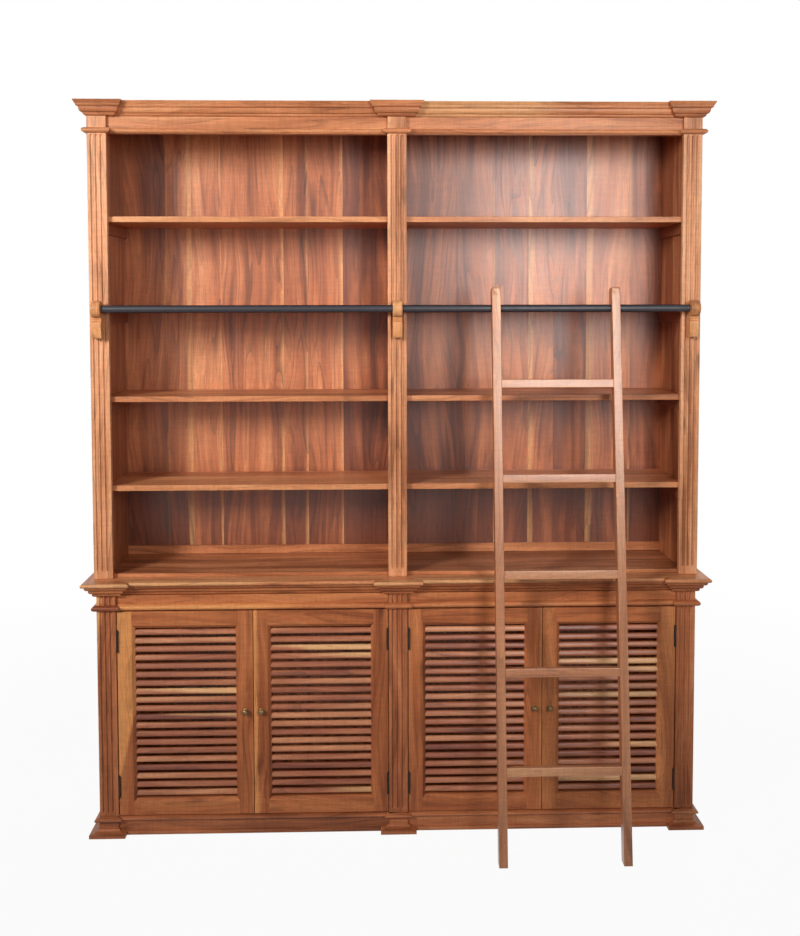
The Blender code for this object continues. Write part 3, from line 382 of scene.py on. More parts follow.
@dataclass
class Timber:
    """Boards and sticks of one wooden piece, gathered in one bmesh.

    Attributes:
        name: The piece's name, which also seeds its random draws.
        tone: Middle of the boards' tones, from 0, dark, to 1, pale.
        spread: How far a board's tone may lie from the middle.
        shape: The gathered boards.
    """

    name: str
    tone: float = 0.5
    spread: float = 0.1
    shape: Shape = field(default_factory=bmesh.new)

    def __post_init__(self) -> None:
        """Add the layers that hold grain, tone and sapwood, and seed the draws."""
        layers = self.shape.verts.layers
        self.grain_layer = layers.float_vector.new("grain")
        self.tone_layer = layers.float.new("tone")
        self.sap_layer = layers.float.new("sap")
        self.draw = random.Random(self.name)

    def fresh(self) -> list[bmesh.types.BMVert]:
        """Vertices of the board that is being made, which has no tone yet."""
        return [vertex for vertex in self.shape.verts if vertex[self.tone_layer] == 0.0]

    def ease(self, width: float) -> None:
        """Round the sharp edges of the board that is being made.

        Args:
            width: Width of the rounding.
        """
        edges = {edge for vertex in self.fresh() for edge in vertex.link_edges}
        sharp = []
        for edge in edges:
            if len(edge.link_faces) == 2 and edge.calc_face_angle() > BEVEL_ANGLE:
                sharp.append(edge)
        bmesh.ops.bevel(self.shape, geom=sharp, offset=width, segments=2, profile=0.5,
                        affect="EDGES", material=-1)

    def mark(self, along: Sequence[float], sap: Optional[SapLine] = None, lift: float = 0.0) -> None:
        """Give the board that is being made its grain, tone and sapwood.

        Args:
            along: Direction of the grain.
            sap: Where its sapwood begins, if it has any.
            lift: Added to the board's tone.
        """
        verts = self.fresh()
        length = Vector(along).normalized()
        across = length.orthogonal().normalized()
        deep = length.cross(across)
        centre = sum((vertex.co for vertex in verts), Vector()) / len(verts)
        pith = self.draw.uniform(0.03, 0.16)
        turn = self.draw.uniform(0.0, math.tau)
        place = self.draw.uniform(-4.0, 4.0)
        start = Vector((place, pith * math.cos(turn), pith * math.sin(turn)))
        tone = self.tone + lift + self.draw.uniform(-self.spread, self.spread)
        for vertex in verts:
            reach = vertex.co - centre
            own = Vector((reach.dot(length), reach.dot(across), reach.dot(deep)))
            vertex[self.grain_layer] = start + own
            vertex[self.tone_layer] = max(tone, LEAST_TONE)
            vertex[self.sap_layer] = -1.0
            if sap is not None:
                vertex[self.sap_layer] = (vertex.co - Vector(sap.point)).dot(Vector(sap.toward))

    def shade_by_height(self, shades: Sequence[Flat], depth: float) -> None:
        """Change the tone of the boards' front along their height.

        Args:
            shades: Heights from the lowest up, each with what is added to the tone there.
            depth: y behind which the tone stays.
        """
        for height, _ in shades:
            geometry = [*self.shape.verts, *self.shape.edges, *self.shape.faces]
            bmesh.ops.bisect_plane(self.shape, geom=geometry, dist=SAME,
                                   plane_co=(0.0, 0.0, height), plane_no=Axis.UP.value)
        for vertex in self.shape.verts:
            if vertex.co.y > depth:
                continue
            lift = shades[0][1]
            for (bottom, start), (top, end) in zip(shades, shades[1:]):
                share = min(max((vertex.co.z - bottom) / (top - bottom), 0.0), 1.0)
                lift += (end - start) * share
            vertex[self.tone_layer] = max(vertex[self.tone_layer] + lift, LEAST_TONE)

    def board(self, low: Sequence[float], high: Sequence[float], along: Axis, edge: float,
              sap: Optional[SapLine] = None, lift: float = 0.0) -> None:
        """Add a planed board with eased edges.

        Args:
            low: Its lowest corner.
            high: Its highest corner.
            along: Direction of its grain.
            edge: Width of its eased edges.
            sap: Where its sapwood begins, if it has any.
            lift: Added to the board's tone.
        """
        size = Vector(high) - Vector(low)
        middle = (Vector(high) + Vector(low)) / 2
        matrix = Matrix.Translation(middle) @ Matrix.Diagonal((*size, 1.0))
        bmesh.ops.create_cube(self.shape, size=1.0, matrix=matrix)
        self.ease(edge)
        self.mark(along.value, sap, lift)

    def panel(self, low: Sequence[float], high: Sequence[float], along: Axis, joints: Sequence[float],
              edge: float, front_edge: float = 0.0) -> None:
        """Add boards that are glued up one behind the other.

        Args:
            low: Lowest corner of the panel.
            high: Its highest corner.
            along: Direction of the grain.
            joints: y of the joints, from the front to the back.
            edge: Width of the boards' eased edges.
            front_edge: That width on the front board, if it has its own.
        """
        depths = [low[1], *joints, high[1]]
        width = front_edge or edge
        for start, end in zip(depths, depths[1:]):
            self.board((low[0], start, low[2]), (high[0], end, high[2]), along, width)
            width = edge

    def extrude(self, outline: Sequence[Vector], push: Vector) -> None:
        """Push a flat outline to a closed prism, not yet marked.

        Args:
            outline: Its corners.
            push: From the outline to the far end.
        """
        face = self.shape.faces.new([self.shape.verts.new(point) for point in outline])
        made = bmesh.ops.extrude_face_region(self.shape, geom=[face])
        moved = [item for item in made["geom"] if isinstance(item, bmesh.types.BMVert)]
        bmesh.ops.translate(self.shape, verts=moved, vec=push)

    def prism(self, outline: Sequence[Vector], push: Vector, along: Axis, edge: float = 0.0,
              sap: Optional[SapLine] = None) -> None:
        """Add a shaped stick.

        Args:
            outline: Corners of its cross-section.
            push: From the outline to the far end.
            along: Direction of its grain.
            edge: Width of its eased edges, if they are eased.
            sap: Where its sapwood begins, if it has any.
        """
        self.extrude(outline, push)
        bmesh.ops.recalc_face_normals(self.shape, faces=self.shape.faces)
        if edge > 0.0:
            self.ease(edge)
        self.mark(along.value, sap)

    def place(self, finish: Finish, slot: str, node: str, body: str = "case") -> None:
        """Turn the gathered boards to a piece of the model."""
        place_piece(self.name, self.shape, finish, body, node)


def arc(centre: Flat, radius: float, start: float, end: float, segments: int) -> list[Flat]:
    """Points along an arc, both ends included.

    Args:
        centre: Middle of the arc.
        radius: Its radius.
        start: First angle in radians.
        end: Last angle in radians.
        segments: Number of straight steps.

    Returns:
        The points in order.
    """
    points = []
    for step in range(segments + 1):
        angle = start + (end - start) * step / segments
        points.append((centre[0] + radius * math.cos(angle), centre[1] + radius * math.sin(angle)))
    return points


def quarter(start: Flat, end: Flat, level_first: bool, segments: int = 8) -> list[Flat]:
    """Quarter ellipse between two points of a moulding, without the first one.

    Args:
        start: Its first (offset, z) point.
        end: Its last (offset, z) point.
        level_first: Whether it leaves the first point level, and not upright.
        segments: Number of straight steps.

    Returns:
        The points in order.
    """
    points = []
    for step in range(1, segments + 1):
        angle = QUARTER * step / segments
        level = math.sin(angle)
        rise = 1.0 - math.cos(angle)
        if not level_first:
            level, rise = rise, level
        points.append((start[0] + (end[0] - start[0]) * level, start[1] + (end[1] - start[1]) * rise))
    return points


def half_round(bottom: float, height: float, projection: float, segments: int = 12) -> list[Flat]:
    """Profile of a half-round bead that lies on a face.

    Args:
        bottom: Its lowest z.
        height: Its height.
        projection: How far it stands out.
        segments: Number of straight steps.

    Returns:
        The (offset, z) points from the bottom up.
    """
    bead = arc((0.0, 0.0), 1.0, -QUARTER, QUARTER, segments)
    return [(out * projection, bottom + height * (1.0 + z) / 2) for out, z in bead]


def ovolos(body: float, bottom: float, top: float, steps: Sequence[Step],
           crest: Sequence[Flat]) -> list[Flat]:
    """Profile of a moulding of several ovolos.

    Args:
        body: Its depth behind the line that it follows.
        bottom: Its lowest z.
        top: Its highest z.
        steps: From the bottom up, corners and the end of the ovolo that follows them, if one does,
            as offsets and heights above the bottom.
        crest: Its last corners, as offsets and depths below the top.

    Returns:
        The (offset, z) points from the bottom up.
    """
    points = [(-body, bottom)]
    for corners, end in steps:
        points += [(out, bottom + rise) for out, rise in corners]
        if end is not None:
            points += quarter(points[-1], (end[0], bottom + end[1]), True)
    points += [(out, top - drop) for out, drop in crest]
    points.append((-body, top))
    return points


def spin_round(shape: Shape, points: Sequence[Vector], centre: Vector, axis: Axis, steps: int) -> None:
    """Turn a line of points round an axis to a closed shape.

    Args:
        shape: The shape to add to.
        points: The line, which begins and ends on the axis.
        centre: A point on the axis.
        axis: Its direction.
        steps: Number of straight steps round it.
    """
    verts = [shape.verts.new(point) for point in points]
    edges = [shape.edges.new(pair) for pair in zip(verts, verts[1:])]
    bmesh.ops.spin(shape, geom=verts + edges, cent=centre, axis=axis.value, angle=math.tau,
                   steps=steps, use_merge=True)
    bmesh.ops.remove_doubles(shape, verts=shape.verts, dist=SAME)


def add_bar(shape: Shape, radius: float, length: float, stand: Matrix, segments: int,
            ease: float) -> None:
    """Add a round bar with eased rims.

    Args:
        shape: The shape to add to.
        radius: Its radius.
        length: Its length.
        stand: From its own axes, with its length along z, to the frame.
        segments: Number of straight steps round it.
        ease: Width of its eased rims.
    """
    made = bmesh.ops.create_cone(shape, cap_ends=True, segments=segments, radius1=radius,
                                 radius2=radius, depth=length, matrix=stand)
    edges = {edge for vertex in made["verts"] for edge in vertex.link_edges}
    rims = [edge for edge in edges if edge.calc_face_angle() > RIM_ANGLE]
    bmesh.ops.bevel(shape, geom=rims, offset=ease, segments=2, profile=0.5, affect="EDGES",
                    material=-1)


@dataclass
class Run:
    """Straight run of a plan line.

    Attributes:
        start: Its first corner.
        end: Its last corner.
        normal: Its outward direction.
        slopes: How far the mitre at each end runs along it for each metre outward.
    """

    start: Vector
    end: Vector
    normal: Vector
    slopes: Flat

    @property
    def heading(self) -> Vector:
        """Direction from its start to its end."""
        return (self.end - self.start).normalized()


@dataclass
class PlanLine:
    """Line round a case in plan, from the wall past its three breaks to the wall again.

    Attributes:
        half_width: Half of the case's width.
        front: y of the breaks.
        recess: y of the case between the breaks.
        ear: How far a break runs past its pilaster.
        wall: y of the wall.
        pilaster: Width of a pilaster.
    """

    half_width: float
    front: float
    recess: float
    ear: float
    wall: float
    pilaster: float

    def points(self) -> list[Vector]:
        """Find the corners of the line.

        Returns:
            The corners from the left end at the wall to the right end.
        """
        outer = self.half_width - self.pilaster - self.ear
        middle = self.pilaster / 2 + self.ear
        right = [(middle, self.front), (middle, self.recess), (outer, self.recess),
                 (outer, self.front), (self.half_width, self.front), (self.half_width, self.wall)]
        left = [(-x, y) for x, y in reversed(right)]
        return [Vector((x, y, 0.0)) for x, y in left + right]

    def runs(self) -> list[Run]:
        """Split the line into straight runs.

        Returns:
            The runs from the left end to the right end.
        """
        points = self.points()
        headings = [(end - start).normalized() for start, end in zip(points, points[1:])]
        normals = [Vector((heading.y, -heading.x, 0.0)) for heading in headings]
        steps = [normals[0]]
        for before, after in zip(normals, normals[1:]):
            steps.append((before + after) / (1.0 + before.dot(after)))
        steps.append(normals[-1])
        runs = []
        for index, heading in enumerate(headings):
            slopes = (steps[index].dot(heading), steps[index + 1].dot(heading))
            runs.append(Run(points[index], points[index + 1], normals[index], slopes))
        return runs


def run_moulding(timber: Timber, line: PlanLine, profile: Sequence[Flat], gap: float = 0.0,
                 pale: Sequence[int] = (), between: Optional[Sequence[Flat]] = None) -> None:
    """Add a moulding round a case, each run a stick of its own with mitred ends.

    Args:
        timber: The piece to add to.
        line: The line that it follows.
        profile: Its (offset, z) section.
        gap: From the line to the moulding's back.
        pale: Numbers of the runs that have sapwood.
        between: Another section for the two runs between the breaks, which then butt against them.
    """
    sap_start = 0.05
    sap_rate = 0.06
    for number, run in enumerate(line.runs()):
        first, last = run.slopes
        section = profile
        if between is not None:
            section = between if number in RECESSES else profile
            first = 0.0 if number in RECESSES or number - 1 in RECESSES else first
            last = 0.0 if number in RECESSES or number + 1 in RECESSES else last
        outline = []
        for out, z in section:
            outline.append(run.start + run.normal * (out + gap) + Vector((0.0, 0.0, z)))
        timber.extrude(outline, run.end - run.start)
        middle = (run.start + run.end) / 2
        for vertex in timber.fresh():
            out = (vertex.co - run.start).dot(run.normal)
            slope = first if (vertex.co - middle).dot(run.heading) < 0.0 else last
            vertex.co += run.heading * (slope * out)
        sap = None
        if number in pale:
            sap = SapLine(tuple(middle + run.heading * sap_start), tuple(-run.heading * sap_rate))
        timber.mark(run.heading, sap)


def carved(body: Shape, cutter: Shape) -> bpy.types.Mesh:
    """Cut one shape out of another.

    Args:
        body: The shape to cut, which is freed.
        cutter: The shape to take away, which is freed.

    Returns:
        The cut mesh.
    """
    items = []
    for shape in (body, cutter):
        bmesh.ops.recalc_face_normals(shape, faces=shape.faces)
        mesh = bpy.data.meshes.new("carving")
        shape.to_mesh(mesh)
        shape.free()
        item = bpy.data.objects.new("carving", mesh)
        bpy.context.scene.collection.objects.link(item)
        items.append(item)
    cut = items[0].modifiers.new("cut", "BOOLEAN")
    cut.operation = "DIFFERENCE"
    cut.solver = "EXACT"
    cut.object = items[1]
    graph = bpy.context.evaluated_depsgraph_get()
    result = bpy.data.meshes.new_from_object(items[0].evaluated_get(graph))
    for item in items:
        spent = item.data
        bpy.data.objects.remove(item, do_unlink=True)
        bpy.data.meshes.remove(spent)
    return result


@dataclass
class FlutedShaft:
    """Flat pilaster or post with three round-ended flutes down its face.

    Attributes:
        node: The solid that it stands for.
        finish: Its surface.
        slot: The record's finish that it takes; not used.
        tone: Its tone.
        foot: Height of the plain foot under the flutes.
        flute_top: z at which the flutes end.
        head_cut: From the face to the rebate behind its head, if it has one.
        head: z at which the rebate begins.
        polish_and_painted_shade: Added to the tone at the bottom of a flute, where the polish gathers
        and where shade is painted.
        head_lift: Added to the tone of the head above the flutes, as dark as the frieze beside it.
        sap_width: Width at the top of the pale strip on its left edge, which runs out further down.
    """

    node: str
    finish: Finish
    slot: str
    tone: float
    foot: float
    flute_top: float
    head_cut: float = 0.0
    head: float = 0.0
    polish_and_painted_shade: float = 0.0
    head_lift: float = 0.0
    sap_width: float = 0.0
    sap_length: float = 0.22
    pitch: float = 0.0158            # between the middles of two flutes
    radius: float = 0.0052           # of a flute
    depth: float = 0.0050            # of a flute
    edge: float = 0.0012
    seam: float = 0.004              # from the flutes to where the head's tone begins

    def blank(self, low: Vector, high: Vector) -> Shape:
        """Make the shaft before its flutes are cut.

        Args:
            low: Its lowest corner.
            high: Its highest corner.

        Returns:
            The plain shaft with eased edges.
        """
        side = [(low.y, low.z), (high.y, low.z), (high.y, high.z), (low.y, high.z)]
        if self.head_cut > 0.0:
            rebate = low.y + self.head_cut
            side[2:3] = [(high.y, self.head), (rebate, self.head), (rebate, high.z)]
        body = Timber("blank")
        body.extrude([Vector((low.x, y, z)) for y, z in side], Vector((high.x - low.x, 0.0, 0.0)))
        bmesh.ops.recalc_face_normals(body.shape, faces=body.shape.faces)
        body.ease(self.edge)
        return body.shape

    def gouges(self, middle: float, face: float, bottom: float) -> Shape:
        """Make what is cut out of the shaft.

        Args:
            middle: x of its middle flute.
            face: y of its face.
            bottom: z at which the flutes begin.

        Returns:
            Three rods with round ends, each spun round its own middle.
        """
        shape = bmesh.new()
        profile = arc((0.0, bottom + self.radius), self.radius, -QUARTER, 0.0, segments=6)
        profile += arc((0.0, self.flute_top - self.radius), self.radius, 0.0, QUARTER, segments=6)
        for step in (-1, 0, 1):
            centre = Vector((middle + step * self.pitch, face + self.depth - self.radius, 0.0))
            points = [centre + Vector((out, 0.0, z)) for out, z in profile]
            spin_round(shape, points, centre, Axis.UP, steps=24)
        return shape

    def darken_flutes_with_polish_and_shade(self, timber: Timber, middle: float, face: float) -> None:
        """Darken the flutes toward their bottoms, as gathered polish and painted shade.

        Args:
            timber: The shaft.
            middle: x of its middle flute.
            face: y of its face.
        """
        reach = self.pitch + self.radius
        for vertex in timber.shape.verts:
            sunk = vertex.co.y - face
            if abs(vertex.co.x - middle) < reach and MM < sunk < self.depth + MM:
                # Painted shade, with gathered polish, darkens the flute toward its bottom.
                vertex[timber.tone_layer] += self.polish_and_painted_shade * sunk / self.depth

    def build(self) -> None:
        """Make the shaft and dress it."""
        low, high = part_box(self.node)
        middle = (low.x + high.x) / 2
        mesh = carved(self.blank(low, high), self.gouges(middle, low.y, low.z + self.foot))
        timber = Timber(self.node + "_shaft", self.tone, spread=0.02)
        timber.shape.from_mesh(mesh)
        bpy.data.meshes.remove(mesh)
        sap = None
        if self.sap_width > 0.0:
            slope = Vector((-self.sap_length, 0.0, self.sap_width)).normalized()
            sap = SapLine((low.x + self.sap_width, 0.0, high.z), tuple(slope))
        timber.mark(Axis.UP.value, sap)
        self.darken_flutes_with_polish_and_shade(timber, middle, low.y)
        if self.head_lift != 0.0:
            seam = self.flute_top + self.seam
            timber.shade_by_height(((seam, 0.0), (seam + MM, self.head_lift)), high.y)
        timber.place(self.finish, self.slot, self.node)


@dataclass
class Shafts:
    """The three pilasters of the upper unit and the three posts of the base under them."""

    pilaster_tones: Point = (0.59, 0.46, 0.56)
    # Painted shade in the flutes, with gathered polish: strongest on the right pilaster, where the lamp
    # lights the flutes flattest.
    flute_polish_and_painted_shade: Point = (-0.06, -0.16, -0.22)
    head_lift: float = -0.16
    pilaster_foot: float = 0.025
    pilaster_stop: float = 0.003     # from the flutes to the bead above them
    post_tone: float = 0.44
    post_saps: Point = (0.013, 0.0, 0.0)
    post_foot: float = 0.012
    post_stop: float = 0.002         # from the flutes to the waist above them
    post_rebate: float = 0.020

    def build(self) -> None:
        """Make each pilaster and then the post below it."""
        flute_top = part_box("neck_bead")[0].z - self.pilaster_stop
        post_flute_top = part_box("waist_moulding")[0].z - self.post_stop
        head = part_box("base_frieze")[0].z - GAP
        for place, tone, polish_and_painted_shade, sap in zip(PLACES, self.pilaster_tones, self.flute_polish_and_painted_shade, self.post_saps):
            FlutedShaft(f"pilaster_{place}", PALE_TEAK, "pilaster_wood", tone, self.pilaster_foot,
                        flute_top, polish_and_painted_shade=polish_and_painted_shade, head_lift=self.head_lift).build()
            FlutedShaft(f"post_{place}", BASE_TEAK, "base_wood", self.post_tone, self.post_foot,
                        post_flute_top, self.post_rebate, head, sap_width=sap).build()


def add_frieze(timber: Timber, node: str, ends: Flat, shaft: str, facing: float) -> None:
    """Add a frieze in two lengths, and the boards that face it between the pilasters or posts.

    Args:
        timber: The piece to add to.
        node: The solid that it stands for.
        ends: x of its left and right end.
        shaft: Pilaster or post.
        facing: How far the facing stands out.
    """
    edge = 0.001
    overlap = 0.0005
    low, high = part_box(node)
    for start, end in ((ends[0], 0.0), (0.0, ends[1])):
        timber.board((start, low.y, low.z), (end, high.y, high.z), Axis.ACROSS, edge)
    boxes = [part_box(f"{shaft}_{place}") for place in PLACES]
    for before, after in zip(boxes, boxes[1:]):
        timber.board((before[1].x + GAP, low.y - facing, low.z),
                     (after[0].x - GAP, low.y + overlap, high.z), Axis.ACROSS, edge)


@dataclass
class UpperUnit:
    """Open shelves: sides, partition, floor, frieze, shelves on cleats, and a back of upright boards."""

    levels: int = 4
    side_thickness: float = 0.045
    partition_half: float = 0.014
    cleat_height: float = 0.037
    cleat_thickness: float = 0.011
    cleat_setback: float = 0.030
    # Painted shade: the cleats' tone is lowered, as they sit in the shade under the shelves.
    cleat_painted_shade: float = -0.24
    frieze_facing: float = 0.008
    back_thickness: float = 0.012
    rail_height: float = 0.030
    left_joints: tuple[float, ...] = (-0.807, -0.719, -0.615, -0.395, -0.310, -0.185, -0.088)
    right_joints: tuple[float, ...] = (0.219, 0.352, 0.476, 0.567, 0.684, 0.8375)
    left_tones: tuple[float, ...] = (-0.06, 0.02, 0.12, 0.03, -0.02, 0.04, -0.24, -0.20)
    right_tones: tuple[float, ...] = (-0.09, -0.10, -0.04, 0.06, -0.12, 0.00, -0.14)
    left_saps: tuple[float, ...] = (0.005, 0.017, 0.005, 0.011, 0.008, 0.005, 0.0, 0.0)
    right_saps: tuple[float, ...] = (0.0, 0.0, 0.004, 0.017, 0.0, 0.022, 0.006)
    # Painted light and shade on the back boards' fronts: darker in the two lowest bays and under the
    # frieze, where the shelves and frieze shade them, and a little lighter in the lit middle bays.
    back_painted_light_and_shade: tuple[Flat, ...] = ((0.85, -0.36), (1.12, -0.31), (1.17, -0.06), (1.45, 0.05),
                                     (1.68, 0.08), (1.95, 0.02), (2.10, -0.04))

    def build(self) -> None:
        """Make the upper unit from its uprights to its frieze."""
        self.build_sides()
        self.build_partition()
        self.build_back()
        self.build_shelves()
        self.build_floor_and_frieze()

    def add_cleats(self, timber: Timber, face: float, direction: int) -> None:
        """Add the shelf cleats on one face of an upright.

        Args:
            timber: The piece to add to.
            face: x of the upright's face.
            direction: Sign of the way that the face looks.
        """
        start, end = sorted((face, face + direction * self.cleat_thickness))
        for level in range(1, self.levels + 1):
            low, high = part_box(f"shelf_left_{level}")
            top = low.z - GAP
            timber.board((start, low.y + self.cleat_setback, top - self.cleat_height),
                         (end, high.y, top), Axis.DEEP, edge=0.0015, lift=self.cleat_painted_shade)

    def build_sides(self) -> None:
        """Make the sides with their cleats."""
        for side in Side:
            node = side.named("upper_side")
            low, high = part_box(node)
            outer = low.x if side is Side.LEFT else high.x
            inner = outer - side.value * self.side_thickness
            start, end = sorted((outer, inner))
            timber = Timber(node + "_panel", tone=0.25, spread=0.05)
            timber.panel((start, low.y, low.z), (end, high.y, high.z), Axis.UP,
                         ((low.y + high.y) / 2,), edge=0.0008)
            self.add_cleats(timber, inner, -side.value)
            timber.place(HONEY_TEAK, "upper_wood", node)

    def build_partition(self) -> None:
        """Make the partition, notched for the frieze, with cleats on both faces."""
        low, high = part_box("upper_partition")
        frieze_low, frieze_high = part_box("upper_frieze")
        notch = frieze_high.y + GAP
        head = frieze_low.z - GAP
        side_view = [(low.y, low.z), (high.y, low.z), (high.y, high.z), (notch, high.z),
                     (notch, head), (low.y, head)]
        outline = [Vector((-self.partition_half, y, z)) for y, z in side_view]
        timber = Timber("upper_partition_panel", tone=0.46, spread=0.05)
        timber.prism(outline, Vector((2 * self.partition_half, 0.0, 0.0)), Axis.UP, edge=0.0008)
        for direction in (1, -1):
            self.add_cleats(timber, direction * self.partition_half, direction)
        timber.place(HONEY_TEAK, "upper_wood", "upper_partition")

    def build_back(self) -> None:
        """Make the back of glued-up upright boards, and the low rails along its foot."""
        low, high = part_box("upper_back")
        face = high.y - self.back_thickness
        timber = Timber("upper_back_boards", tone=0.48, spread=0.04)
        bays = ((1.0, (low.x, *self.left_joints, 0.0), self.left_tones, self.left_saps),
                (-1.0, (0.0, *self.right_joints, high.x), self.right_tones, self.right_saps))
        for toward, joints, tones, saps in bays:
            for start, end, lift, pale in zip(joints, joints[1:], tones, saps):
                sap = None
                if pale > 0.0:
                    line = end - pale if toward > 0.0 else start + pale
                    sap = SapLine((line, 0.0, 0.0), (toward, 0.0, 0.0))
                timber.board((start, face, low.z), (end, high.y, high.z), Axis.UP, 0.0003, sap, lift)
        # Paint shade and light on the boards' fronts by height, darkest in the lowest bays.
        timber.shade_by_height(self.back_painted_light_and_shade, face + self.back_thickness / 2)
        timber.place(BACK_TEAK, "back_boards", "upper_back")
        rails = Timber("upper_back_rails", tone=0.5, spread=0.05)
        inner = self.partition_half + GAP
        for start, end in ((low.x, -inner), (inner, high.x)):
            rails.board((start, low.y, low.z), (end, face, low.z + self.rail_height), Axis.ACROSS,
                        edge=0.001)
        rails.place(HONEY_TEAK, "upper_wood", "upper_back")

    def build_shelves(self) -> None:
        """Make the shelves of both bays, each glued up of two boards."""
        for bay in Side:
            for level in range(1, self.levels + 1):
                node = f"{bay.named('shelf')}_{level}"
                low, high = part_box(node)
                timber = Timber(node + "_board", tone=0.56, spread=0.08)
                joint = low.y + (high.y - low.y) * timber.draw.uniform(0.35, 0.65)
                timber.panel(low, high, Axis.ACROSS, (joint,), edge=0.0004, front_edge=0.0016)
                timber.place(HONEY_TEAK, "upper_wood", node)

    def build_floor_and_frieze(self) -> None:
        """Make the floor and the frieze board."""
        low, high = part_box("upper_floor")
        timber = Timber("upper_floor_board", tone=0.36, spread=0.05)
        for start, end in ((low.x, 0.0), (0.0, high.x)):
            timber.panel((start, low.y, low.z), (end, high.y, high.z), Axis.ACROSS,
                         ((low.y + high.y) / 2,), edge=0.0004, front_edge=0.001)
        timber.place(HONEY_TEAK, "upper_wood", "upper_floor")
        low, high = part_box("upper_frieze")
        timber = Timber("upper_frieze_board", tone=0.47, spread=0.06)
        add_frieze(timber, "upper_frieze", (low.x, high.x), "pilaster", self.frieze_facing)
        timber.place(HONEY_TEAK, "upper_wood", "upper_frieze")


